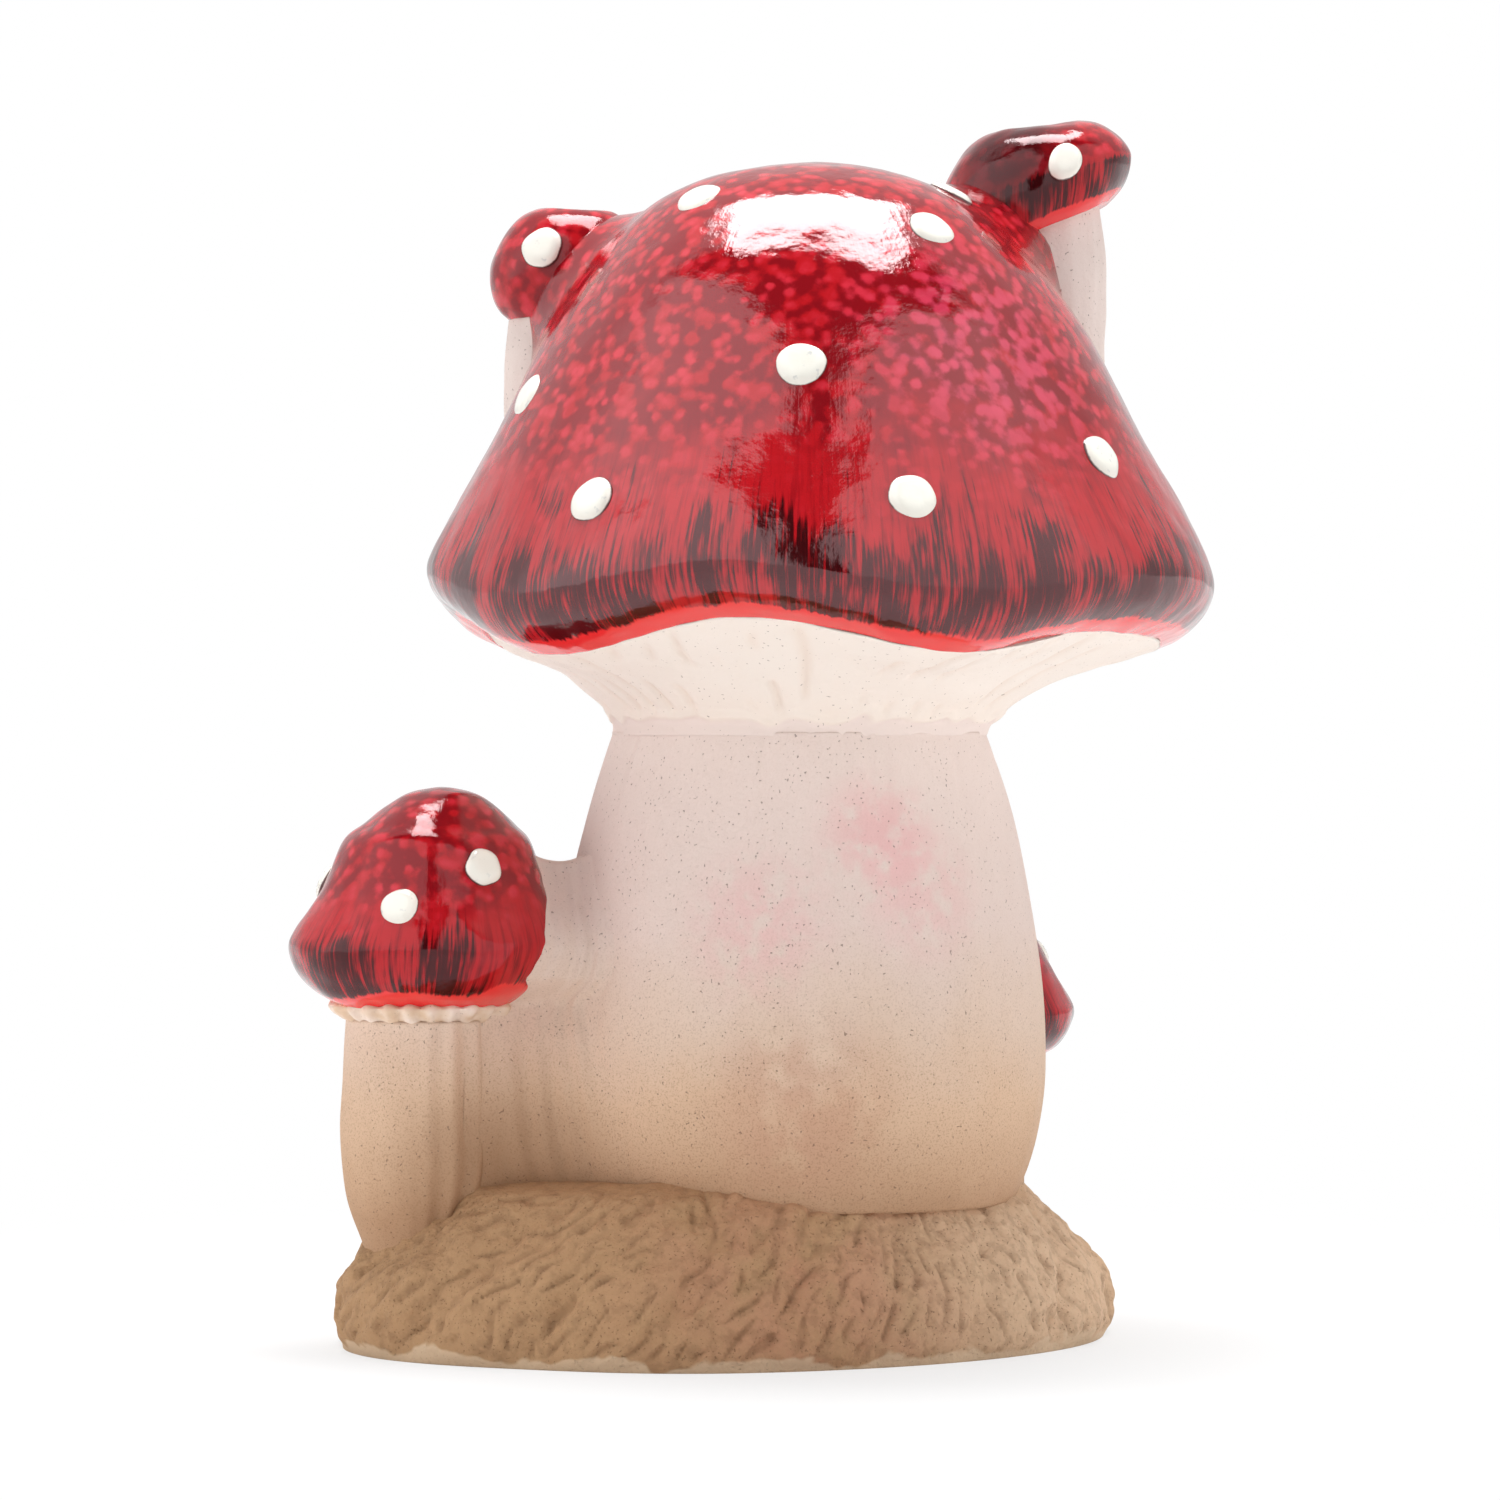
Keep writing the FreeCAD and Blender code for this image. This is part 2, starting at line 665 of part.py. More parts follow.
def enamel_dots(name, form, middle_of, places, radius_cell):
    """Group of dots on a cap's form, at angles round it and shares of its height."""
    ball_radius = "(%(r)s ^ 2 + %(t)s ^ 2) / (2 * %(t)s)" % {"r": radius_cell, "t": "Sizes.dot_thickness"}
    depth = value_of(ball_radius) - size("dot_thickness")
    balls = []
    for index, (angle, height_share) in enumerate(places, start=1):
        outwards = FreeCAD.Vector(*circle(math.radians(angle)), 0)
        point, normal = point_on(form, middle_of(height_share), outwards)
        ball = doc.addObject("Part::Sphere", "%s_ball_%d" % (name, index))
        bind(ball, Radius=ball_radius)
        ball.Placement.Base = point - normal * depth
        balls.append(ball)
    group = doc.addObject("Part::Compound", name + "_balls")
    group.Links = balls
    return cut(name, group, form)


def small_cap_dots(name, form, places):
    """Dots of a small cap."""

    def middle_of(share):
        return beside_stem(name, value_of(CAP_FEET[name]) + size(name + "_cap_height") * share)

    return enamel_dots(name + "_cap_dots", form, middle_of, places, "Sizes.small_dot_radius")


doc.recompute()
dots = [
    enamel_dots("main_cap_dots", cap_core, cap_middle, MAIN_DOTS, "Sizes.dot_radius"),
    small_cap_dots("front_left", front_left_cap_form, FRONT_LEFT_DOTS),
    small_cap_dots("rear_right", rear_right_cap_form, REAR_RIGHT_DOTS),
    small_cap_dots("top_left", top_left_cap_form, TOP_LEFT_DOTS),
    small_cap_dots("top_right", top_right_cap_form, TOP_RIGHT_DOTS),
]

pieces = [base_mound, main_stem, gill_funnel, main_cap]
pieces += front_left + rear_right + top_left + top_right + dots
doc.recompute()
for item in doc.Objects:
    if "Invalid" in item.State or "Error" in item.State:
        raise RuntimeError("%s failed to build" % item.Label)
for piece in pieces:
    if piece.Shape.isNull() or not piece.Shape.isValid() or not piece.Shape.Solids:
        raise RuntimeError("%s has no sound solid" % piece.Label)
os.makedirs("parts", exist_ok=True)
for piece in pieces:
    piece.Shape.exportStep("parts/%s.step" % piece.Label)
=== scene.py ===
import math

import bpy
import numpy as np
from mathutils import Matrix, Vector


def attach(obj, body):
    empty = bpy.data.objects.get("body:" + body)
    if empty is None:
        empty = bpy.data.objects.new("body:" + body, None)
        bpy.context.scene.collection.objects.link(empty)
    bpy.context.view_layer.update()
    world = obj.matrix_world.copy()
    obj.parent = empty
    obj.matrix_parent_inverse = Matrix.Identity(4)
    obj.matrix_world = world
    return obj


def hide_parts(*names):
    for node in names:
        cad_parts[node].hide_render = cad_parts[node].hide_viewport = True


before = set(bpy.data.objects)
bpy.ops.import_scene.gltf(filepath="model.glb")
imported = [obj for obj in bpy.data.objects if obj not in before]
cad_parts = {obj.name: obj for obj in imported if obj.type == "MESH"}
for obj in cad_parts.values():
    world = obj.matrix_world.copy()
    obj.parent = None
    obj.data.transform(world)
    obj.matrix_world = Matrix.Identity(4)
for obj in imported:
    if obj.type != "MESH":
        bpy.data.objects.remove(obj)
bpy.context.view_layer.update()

# Ground mound. A heap of cast clay with grass strokes carved into its side before firing, washed with
# brown. It is hollow, with a closed floor and the round hole that the slip was poured through.

MM = 0.001
STEM_X = 8.4
MOUND_X = -3.9
MOUND_REACH = 67.4
MOUND_SLIM = 99 / 134.8
MOUND_TURN = math.radians(20)
MOUND_HEIGHT = 28.0
WALL = 5.0
MOUND_SHARES = (
    (1.0, 0.600, 0.0),
    (0.95, 0.720, 0.3),
    (0.83, 0.800, 0.8),
    (0.65, 0.880, 1.0),
    (0.47, 0.955, 1.0),
    (0.29, 0.993, 1.0),
    (0.115, 1.000, 0.7),
    (0.0, 0.975, 0.0),
)
DENT_ANGLE = -129
DENT_SPREAD = 24
DENT_SHARE = 0.07
FURROWS = 17
FURROW_DEPTH = 1.8
FURROW_SLANT = 5.6
POUR_HOLE = 14.0
FRONT_LEFT = (-53.6, -12.0)
LIPS = ((STEM_X, 0, 37.6, 7), (*FRONT_LEFT, 10.5, 5))
LIP_RISE = 0.8
STROKES = 78
SWEEPS = 46
STROKE_DEPTH = 0.72
PITS = ((-104, 8.5), (-99, 6.2), (-95, 7.4), (-88, 5.2), (-83, 7.0), (-112, 12), (-133, 13), (-71, 9))
PINK_WASH = ((14, -48, 14), 8, 46)
PALE_END = ((56, -14, 14), 8, 58)
EARTH = (0.47, 0.280, 0.145, 1)
EARTH_PINK = (0.53, 0.270, 0.160, 1)
EARTH_PALE = (0.74, 0.520, 0.350, 1)
EARTH_DARK = (0.19, 0.095, 0.046, 1)
EARTH_CHIP = (0.74, 0.56, 0.39, 1)


def through(rows, count):
    """Smooth curve through the rows of a table at count places, evenly by row: the cubic between each
    two rows whose slopes are half the way from the row before to the row after."""
    rows = np.array(rows, float)
    padded = np.vstack([2 * rows[0] - rows[1], rows, 2 * rows[-1] - rows[-2]])
    place = np.linspace(0, len(rows) - 1, count)
    step = np.minimum(place.astype(int), len(rows) - 2)
    part = (place - step)[:, None]
    a, b, c, d = (padded[step + shift] for shift in range(4))
    return b + part / 2 * (c - a + part * (2 * a - 5 * b + 4 * c - d + part * (3 * (b - c) + d - a)))


def upright(table):
    """The columns of a table, each standing upright."""
    return (table[:, column : column + 1] for column in range(table.shape[1]))


def wander(points, length, seed, stretch=(1, 1, 1)):
    """Smooth random field of about -1 to 1: the sum of thirty sine waves of about one length, each in
    a random direction, divided by the root of half their number and by 1.6."""
    draw = np.random.default_rng(seed)
    ways = draw.normal(size=(30, 3))
    ways *= (2 * np.pi / length * draw.uniform(0.6, 1.4, 30) / np.linalg.norm(ways, axis=1))[:, None]
    starts = draw.uniform(0, 2 * np.pi, 30)
    return np.sin((points / np.array(stretch)) @ ways.T + starts).sum(-1) / math.sqrt(15) / 1.6


def eased(value, low, high):
    """Share of the way from low to high, from 0 to 1, with a soft start and end."""
    part = np.clip((value - low) / (high - low), 0, 1)
    return part * part * (3 - 2 * part)


def round_angles(count):
    """Angles round an axis, against the clock seen from above, starting on the right."""
    return np.linspace(0, 2 * np.pi, count, endpoint=False)


def ring_rows(middle_x, middle_y, radius, height, angles):
    """Rows of points round an axis: middle plus radius times cosine and sine of the angle."""
    across = middle_x + radius * np.cos(angles)
    along = middle_y + radius * np.sin(angles)
    return np.stack([across, along, np.broadcast_to(height, across.shape)], axis=-1)


def pushed(grid, depth):
    """Grid moved along its normals, the cross product of its row and column differences."""
    down = np.gradient(grid, axis=0)
    wrapped = np.concatenate([grid[:, -1:], grid, grid[:, :1]], axis=1)
    around = (wrapped[:, 2:] - wrapped[:, :-2]) / 2
    normal = np.cross(down, around)
    normal /= np.maximum(np.linalg.norm(normal, axis=-1, keepdims=True), 1e-9)
    return grid + normal * depth[..., None]


def woven(name, grids, looped=False, marks=()):
    """Closed mesh of grids in millimetres whose columns run round. The rows run in a loop too, or end
    in a pole at the mean of the first and of the last row. Marks are named values, one for each point."""
    points, faces, start = [], [], 0
    for grid in grids:
        rows, columns = grid.shape[:2]
        index = start + np.arange(rows * columns).reshape(rows, columns)
        upper, lower = (index, np.roll(index, -1, axis=0)) if looped else (index[:-1], index[1:])
        corners = (upper, lower, np.roll(lower, -1, axis=1), np.roll(upper, -1, axis=1))
        faces += np.stack(corners, axis=-1).reshape(-1, 4).tolist()
        points.append(grid.reshape(-1, 3))
        start += rows * columns
        if not looped:
            first, last = np.full(columns, start), np.full(columns, start + 1)
            faces += np.stack([first, index[0], np.roll(index[0], -1)], axis=-1).tolist()
            faces += np.stack([last, np.roll(index[-1], -1), index[-1]], axis=-1).tolist()
            points.append(np.stack([grid[0].mean(0), grid[-1].mean(0)]))
            start += 2
    mesh = bpy.data.meshes.new(name)
    mesh.from_pydata(np.concatenate(points) * MM, [], faces)
    mesh.shade_smooth()
    for mark, values in marks:
        wide = values[0].ndim == 3
        flat = []
        for value in values:
            flat.append(value.reshape(-1, 3) if wide else value.ravel())
            if not looped:
                flat.append(np.stack([value[0].mean(0), value[-1].mean(0)]))
        kind, field = ("FLOAT_VECTOR", "vector") if wide else ("FLOAT", "value")
        layer = mesh.attributes.new(mark, kind, "POINT")
        layer.data.foreach_set(field, np.concatenate(flat).astype(np.float32).ravel())
    piece = bpy.data.objects.new(name, mesh)
    bpy.context.scene.collection.objects.link(piece)
    return piece


def fitted(piece, node, material):
    """Puts a finished piece in the place of its node and its material."""
    piece.data.materials.append(material)
    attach(piece, "root")
    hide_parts(node)


class Finish:
    """A node material: its tree and shader, and short calls for the nodes that its pattern needs."""

    def __init__(self, name, roughness, coat=0.0):
        self.material = bpy.data.materials.new(name)
        self.material.use_nodes = True
        self.tree = self.material.node_tree
        self.shader = self.tree.nodes["Principled BSDF"]
        self.shader.inputs["Roughness"].default_value = roughness
        self.shader.inputs["Coat Weight"].default_value = coat
        self.shader.inputs["Coat Roughness"].default_value = 0.03
        self.place = self.tree.nodes.new("ShaderNodeTexCoord").outputs["Object"]

    def wire(self, kind, values, **settings):
        """New node of a kind with its inputs set or linked, and its first output."""
        made = self.tree.nodes.new("ShaderNode" + kind)
        for setting, value in settings.items():
            setattr(made, setting, value)
        for key, value in values.items():
            if isinstance(value, bpy.types.NodeSocket):
                self.tree.links.new(value, made.inputs[key])
            else:
                made.inputs[key].default_value = value
        return made.outputs[0]

    def mark(self, name, output="Fac"):
        """A named value of the mesh's points."""
        made = self.tree.nodes.new("ShaderNodeAttribute")
        made.attribute_name = name
        return made.outputs[output]

    def blots(self, size, place=None, stretch=(1, 1, 1), detail=2.0):
        """Noise of about 0.3 to 0.7 whose blots have a size in millimetres, stretched along the axes."""
        scale = [1 / (size * MM * along) for along in stretch]
        spot = self.wire("Mapping", {"Vector": place or self.place, "Scale": scale})
        return self.wire("TexNoise", {"Vector": spot, "Scale": 1.0, "Detail": detail})

    def eased(self, value, low, high):
        """Value eased from 0 at low to 1 at high."""
        values = {0: value, 1: low, 2: high}
        return self.wire("MapRange", values, interpolation_type="SMOOTHSTEP")

    def sum(self, *parts):
        """Sum of pairs, each a value times its weight."""
        total = 0.0
        for value, weight in parts:
            total = self.wire("Math", {0: value, 1: weight, 2: total}, operation="MULTIPLY_ADD")
        return total

    def product(self, one, other):
        """One value times the other."""
        return self.wire("Math", {0: one, 1: other}, operation="MULTIPLY")

    def mixed(self, share, under, over):
        """Colour under, covered by colour over by a share."""
        made = self.tree.nodes.new("ShaderNodeMix")
        made.data_type = "RGBA"
        for key, value in ((0, share), (6, under), (7, over)):
            if isinstance(value, bpy.types.NodeSocket):
                self.tree.links.new(value, made.inputs[key])
            else:
                made.inputs[key].default_value = value
        return made.outputs[2]

    def height(self):
        """Height over the ground in millimetres."""
        parts = self.tree.nodes.new("ShaderNodeSeparateXYZ")
        self.tree.links.new(self.place, parts.inputs[0])
        return self.product(parts.outputs[2], 1 / MM)

    def near(self, spot, inner, outer):
        """1 within an inner distance of a spot in millimetres, easing to 0 at an outer one."""
        middle = [part * MM for part in spot]
        made = self.tree.nodes.new("ShaderNodeVectorMath")
        made.operation = "DISTANCE"
        self.tree.links.new(self.place, made.inputs[0])
        made.inputs[1].default_value = middle
        return self.eased(made.outputs["Value"], outer * MM, inner * MM)

    def coloured(self, colour):
        """Gives the shader its base colour."""
        self.tree.links.new(colour, self.shader.inputs["Base Color"])

    def bumped(self, value, depth):
        """Gives the shader a fine relief: depth in millimetres for a value of 1."""
        bump = self.tree.nodes.new("ShaderNodeBump")
        bump.inputs["Distance"].default_value = depth * MM
        self.tree.links.new(value, bump.inputs["Height"])
        self.tree.links.new(bump.outputs[0], self.shader.inputs["Normal"])


def mound_reach(angles):
    """Reach of the mound's outline by angle: an oval turned on the ground, with a shallow dent."""
    off_dent = (np.degrees(angles) - DENT_ANGLE + 180) % 360 - 180
    oval = MOUND_SLIM / np.hypot(MOUND_SLIM * np.cos(angles - MOUND_TURN), np.sin(angles - MOUND_TURN))
    return MOUND_REACH * oval * (1 - DENT_SHARE * np.exp(-((off_dent / DENT_SPREAD) ** 2)))


def carving(skin, angles):
    """Depth of the carved strokes, from 0 to 1: the third power of a wave round the mound that slants
    with the height, broken into short strokes by a wave across it and a random field. Longer sweeps
    of a wider wave take their place near the top."""
    height = skin[..., 2]
    drift = wander(skin, 26, 11)
    right_end = eased(np.cos(angles), 0.45, 0.95)
    slant = 1.15 * (1 - right_end) + 0.30 * drift
    side_wave = STROKES * angles - slant * height + 2.6 * drift + 1.3 * wander(skin, 8, 12)
    strokes = (0.5 + 0.5 * np.sin(side_wave)) ** 3
    across = np.sin(0.85 * height + 3.1 * np.sin(0.5 * side_wave) + 2.2 * wander(skin, 14, 13))
    broken = eased(across + 0.9 * wander(skin, 9, 14), -0.5, 0.6)
    top_wave = SWEEPS * angles - 0.9 * slant * height + 3.4 * wander(skin, 18, 15)
    sweeps = (0.5 + 0.5 * np.sin(top_wave)) ** 3
    upper = eased(height, 14, 22)
    return strokes * broken * (1 - 0.6 * upper) + 0.7 * sweeps * upper * eased(wander(skin, 9, 16), -0.5, 0.3)


angles = round_angles(560)
height, share, furrow_share = upright(through(MOUND_SHARES, 92))
furrows = np.maximum(0, np.cos(FURROWS * angles - FURROW_SLANT * height)) ** 2
height = height * MOUND_HEIGHT
reach = mound_reach(angles)
furrowed = reach * share * (1 - FURROW_DEPTH * furrow_share * furrows / MOUND_REACH)
skin = ring_rows(MOUND_X, 0, furrowed, height, angles)
groove = carving(skin, angles)
shore = eased(height, 0.4, 3.5) * (1 - 0.8 * eased(height, 26.5, 28))
heave = 0.35 * wander(skin, 22, 17) + 0.32 * wander(skin, 8, 18) + 0.13 * wander(skin, 2.6, 19)
lip = np.zeros(skin.shape[:2])
for across, along, radius, width in LIPS:
    gap = np.clip(np.hypot(skin[..., 0] - across, skin[..., 1] - along) - radius, 0, width)
    lip += LIP_RISE * (1 - gap / width) ** 2
pitted = np.zeros(skin.shape[:2])
for angle, level in PITS:
    across = (angles - math.radians(angle)) * 50
    pitted += np.exp(-(across ** 2) - ((height - level) / 0.8) ** 2)
skin = pushed(skin, (heave + 0.20 - STROKE_DEPTH * groove - pitted) * shore + lip)
skin[..., 2] = np.maximum(skin[..., 2], 0)
inside = np.stack([
    ring_rows(MOUND_X, 0, 0.55 * reach, 0.0, angles),
    ring_rows(MOUND_X, 0, POUR_HOLE, 0.0, angles),
    ring_rows(MOUND_X, 0, POUR_HOLE, WALL, angles),
    ring_rows(MOUND_X, 0, 0.985 * reach - WALL, WALL, angles),
    ring_rows(MOUND_X, 0, 0.96 * reach - WALL, 10.6, angles),
    ring_rows(MOUND_X, 0, 0.86 * reach - WALL, 19.0, angles),
    ring_rows(STEM_X, 0, 30.8, 19.0, angles),
    ring_rows(STEM_X, 0, 31.2, 24.0, angles),
])
top = np.stack([
    ring_rows(STEM_X, 0, 33.0, 24.5, angles),
    ring_rows(STEM_X, 0, 33.6, 27.0, angles),
    0.5 * (ring_rows(STEM_X, 0, 34.4, 28.6, angles) + skin[0]),
])
mound_grid = np.concatenate([top, skin, inside])
carved = [np.zeros(top.shape[:2]), groove * shore + pitted, np.zeros(inside.shape[:2])]
marks = [("carved", [np.concatenate(carved)])]
base_mound = woven("ground_mound", [mound_grid], looped=True, marks=marks)

earth = Finish("brown_washed_clay", 0.85)
rosy = earth.product(earth.near(*PINK_WASH), 0.8)
wash = earth.product(earth.eased(earth.blots(11, detail=4), 0.30, 0.60), rosy)
clay = earth.mixed(wash, EARTH, EARTH_PINK)
# Painted shade: the carved strokes and pits, read from the carved mark, are darkened towards the dark brown.
# The grime blots mixed in with them are the clay's own uneven tone.
hollow_shade = earth.eased(earth.mark("carved"), 0.05, 0.75)
grime = earth.eased(earth.blots(2.2, detail=5), 0.47, 0.66)
pale = earth.product(earth.near(*PALE_END), 0.90)
clay = earth.mixed(pale, clay, EARTH_PALE)
shade = earth.sum((hollow_shade, 0.24), (grime, 0.26))
clay = earth.mixed(shade, clay, EARTH_DARK)
specks = earth.eased(earth.blots(0.42, detail=1), 0.66, 0.72)
clay = earth.mixed(earth.product(specks, 0.5), clay, EARTH_DARK)
worn = earth.sum((earth.height(), -0.5), (earth.blots(6), 3.0), (earth.blots(22, detail=1), 3.2))
chipped = earth.eased(worn, 1.9, 2.3)
clay = earth.mixed(earth.product(chipped, 0.75), clay, EARTH_CHIP)
earth.coloured(clay)
earth.bumped(earth.sum((earth.blots(0.9, detail=4), 1.0), (specks, -0.4)), 0.35)
fitted(base_mound, "base_mound", earth.material)

# Large stem. A slip-cast barrel with a thin wall, open at both ends, luted onto the mound. Its matte
# clay is sprayed from pinkish white at the neck to tan at the foot, and keeps the casting's pinholes.

STEM_FOOT = (35.8, 24.0)
STEM_BELLY = (41.2, 46.0)
NECK = (31.5, 101.5)
NECK_CREASES = (-101, -78, -70.5, -66, -40, -150, 20, 75, 130)
CREASE_WIDTH = 1.1
CREASE_DEPTH = 0.28
BISQUE = (
    (0.20, (0.46, 0.275, 0.160, 1)),
    (0.27, (0.57, 0.365, 0.230, 1)),
    (0.38, (0.68, 0.470, 0.325, 1)),
    (0.50, (0.71, 0.540, 0.430, 1)),
    (0.64, (0.75, 0.610, 0.550, 1)),
    (0.90, (0.79, 0.670, 0.620, 1)),
)
BLUSH = (0.80, 0.42, 0.43, 1)
ROSY = (0.47, 0.215, 0.135, 1)
BROWN_SPRAY_AND_SHADE = (0.27, 0.135, 0.058, 1)
PINHOLE = (0.12, 0.06, 0.04, 1)
BLUSH_SPOTS = (((21, -34, 85), 14, 0.60), ((1, -40, 71), 17, 0.42), ((27, -31, 75), 15, 0.40))
VALLEY_SHADE_SPOTS = (((-38, -24, 32), 22, 0.52), ((-50, -27, 29), 17, 0.20))
ROSY_SPOT = ((8, -41, 41), 3, 22)


def barrel_radius(foot, belly, top, height):
    """Radius of a barrel by height: two arcs that meet upright at the belly. Each bends in from the
    belly's radius by its own radius less the root of its square less the square of the height over
    the belly."""
    arcs = []
    for end_radius, end_height in (foot, top):
        fall, run = belly[0] - end_radius, end_height - belly[1]
        arcs.append((fall ** 2 + run ** 2) / (2 * fall))
    arc = np.where(height < belly[1], *arcs)
    return belly[0] - arc + np.sqrt(arc ** 2 - (height - belly[1]) ** 2)


angles = round_angles(360)
height = np.linspace(NECK[1] + 0.6, STEM_FOOT[1], 160)[:, None]
radius = barrel_radius(STEM_FOOT, STEM_BELLY, NECK, np.minimum(height, NECK[1]))
skin = ring_rows(STEM_X, 0, radius + 0 * angles, height, angles)
soft = 0.26 * wander(skin, 34, 21) + 0.12 * wander(skin, 7, 22, stretch=(1, 1, 7))
off_crease = (angles[:, None] - np.radians(NECK_CREASES) + np.pi) % (2 * np.pi) - np.pi
crease = np.exp(-(off_crease * 38 / CREASE_WIDTH) ** 2).sum(-1)
soft -= CREASE_DEPTH * crease * eased(height, 84, 99)
skin = pushed(skin, soft)
low = np.linspace(STEM_FOOT[1], NECK[1], 12)[:, None]
bore = ring_rows(STEM_X, 0, barrel_radius(STEM_FOOT, STEM_BELLY, NECK, low) - WALL + 0 * angles, low, angles)
main_stem = woven("large_stem", [np.concatenate([skin, bore])], looped=True)


def sprayed_bisque(name):
    """Matte clay, sprayed by height, with patches of blush, brown painted shade low between the front left
    stem and the large stem, spray specks and pinholes.
    """
    clay = Finish(name, 0.78)
    level = clay.sum((clay.height(), 1 / 110), (clay.blots(14, detail=2), 0.10), (1.0, -0.05))
    ramp = clay.tree.nodes.new("ShaderNodeValToRGB")
    clay.tree.links.new(level, ramp.inputs[0])
    stops = ramp.color_ramp.elements
    while len(stops) < len(BISQUE):
        stops.new(0.5)
    for stop, (place, colour) in zip(stops, BISQUE):
        stop.position, stop.color = place, colour
    colour = ramp.outputs[0]
    for spot, reach, strength in BLUSH_SPOTS:
        patch = clay.near(spot, reach * 0.15, reach)
        patch = clay.product(patch, clay.eased(clay.blots(4, detail=3), 0.3, 0.6))
        colour = clay.mixed(clay.product(patch, strength), colour, BLUSH)
    # Painted shade: brown patches low in the valley between the front left stem and the large stem, and at
    # the small stem's foot, where they meet the mound. The same brown also colours the real spray specks
    # below.
    for spot, reach, strength in VALLEY_SHADE_SPOTS:
        patch = clay.near(spot, reach * 0.1, reach)
        colour = clay.mixed(clay.product(patch, strength), colour, BROWN_SPRAY_AND_SHADE)
    rosy = clay.product(clay.near(*ROSY_SPOT), clay.eased(clay.blots(6, detail=3), 0.3, 0.6))
    colour = clay.mixed(clay.product(rosy, 0.42), colour, ROSY)
    spray = clay.eased(clay.blots(0.30, detail=3), 0.50, 0.66)
    low = clay.eased(clay.height(), 84, 30)
    colour = clay.mixed(clay.product(spray, clay.sum((low, 0.30), (0.05, 1.0))), colour, BROWN_SPRAY_AND_SHADE)
    holes = clay.eased(clay.blots(0.42, detail=0.0), 0.775, 0.81)
    colour = clay.mixed(clay.product(holes, 0.5), colour, PINHOLE)
    clay.coloured(colour)
    clay.bumped(clay.sum((clay.blots(0.8, detail=4), 0.6), (clay.blots(3.5), 1.2), (holes, -1.0)), 0.16)
    return clay.material


bisque = sprayed_bisque("sprayed_bisque")
fitted(main_stem, "main_stem", bisque)

# Gills. The flared underside of the cap, a casting of its own with shallow ribs pressed in from the rim
# to the neck, luted to the stem with a smeared ring of slip. Matte cream with no glaze, and washed with
# tan lower down, for the frills of the small toadstools.

CAP_X = STEM_X + 3.5
CAP_RADIUS = 66.0
CAP_HEIGHT = 79.9
SEAM_HEIGHT = 117.5
RIM_WAVE = 2.8
RIM_SHARE = 0.864
GILL_SHARES = (
    (1.0, 1.0, 1.0),
    (0.788, 0.678, 0.6),
    (0.631, 0.439, 0.3),
    (0.469, 0.259, 0.1),
    (0.312, 0.118, 0.0),
    (0.156, 0.020, 0.0),
    (0.0, 0.0, 0.0),
)
RIBS = 46
RIB_DEPTH = 0.75
SMEAR_DEPTH = 0.50
CREAM = (0.86, 0.785, 0.720, 1)
CREAM_WARM = (0.82, 0.690, 0.600, 1)
FRILL_TAN = (0.66, 0.46, 0.29, 1)


def rim_wave(angles):
    """Five waves round the rim, the first dip 23 degrees to the right of the front, and flatter on the
    right hand side."""
    off_side = (np.degrees(angles) + 18 + 180) % 360 - 180
    flatter = 1 - 0.75 * np.exp(-((off_side / 30) ** 2))
    return -RIM_WAVE * flatter * np.cos(5 * (angles + math.radians(67)))


angles = round_angles(420)
share, reach, wave = upright(through(GILL_SHARES, 60))
seam_radius = CAP_RADIUS * RIM_SHARE
middle = CAP_X - 3.5 * (1 - share)
height = NECK[1] + (SEAM_HEIGHT - NECK[1]) * share + wave * rim_wave(angles)
radius = NECK[0] + (seam_radius - NECK[0]) * reach + 0 * angles
skin = ring_rows(middle, 0, radius, height, angles)
rib_wave = RIBS * angles + 2.4 * wander(skin, 30, 31)
ribs = (0.5 + 0.5 * np.sin(rib_wave)) ** 6 * eased(wander(skin, 14, 32), -0.5, 0.5)
fade = eased(reach, 0.0, 0.12) * (1 - 0.7 * eased(reach, 0.80, 0.98))
ruffle = 0.19 + 0.035 * wander(skin, 9, 33) + 0.03 * np.sin(23 * angles + 2 * wander(skin, 20, 35))
smear = np.exp(-((share - ruffle) / 0.045) ** 2)
below = eased(share, ruffle, ruffle - 0.06)
skin = pushed(skin, SMEAR_DEPTH * smear - RIB_DEPTH * ribs * fade + 0.12 * wander(skin, 9, 34))
lining = np.stack([
    ring_rows(STEM_X, 0, NECK[0] - WALL, NECK[1] + 0.2, angles),
    ring_rows(CAP_X - 2, 0, NECK[0] - 1.5, NECK[1] + 9, angles),
    ring_rows(CAP_X, 0, seam_radius - 9, SEAM_HEIGHT + 2.5 + rim_wave(angles), angles),
])
plain = np.zeros(lining.shape[:2])
marks = [("pressed", [np.concatenate([ribs * fade, plain])]), ("neck", [np.concatenate([below, plain])])]
gill_funnel = woven("gills", [np.concatenate([skin, lining])], looped=True, marks=marks)
gill = Finish("matte_cream", 0.75)
warm = gill.sum((gill.eased(gill.height(), 112, 100), 0.8), (gill.eased(gill.height(), 80, 60), 0.9))
tone = gill.sum((warm, 0.75), (gill.blots(7, detail=3), 0.35), (1.0, -0.12))
cream = gill.mixed(tone, CREAM, CREAM_WARM)
cream = gill.mixed(gill.product(gill.mark("pressed"), 0.55), cream, CREAM_WARM)
cream = gill.mixed(gill.mark("neck"), cream, BISQUE[-1][1])
tan = gill.product(gill.eased(gill.height(), 80, 60), gill.eased(gill.blots(5, detail=3), 0.30, 0.62))
cream = gill.mixed(gill.product(tan, 0.75), cream, FRILL_TAN)
holes = gill.eased(gill.blots(0.45, detail=0.0), 0.79, 0.82)
cream = gill.mixed(gill.product(holes, 0.5), cream, PINHOLE)
gill.coloured(cream)
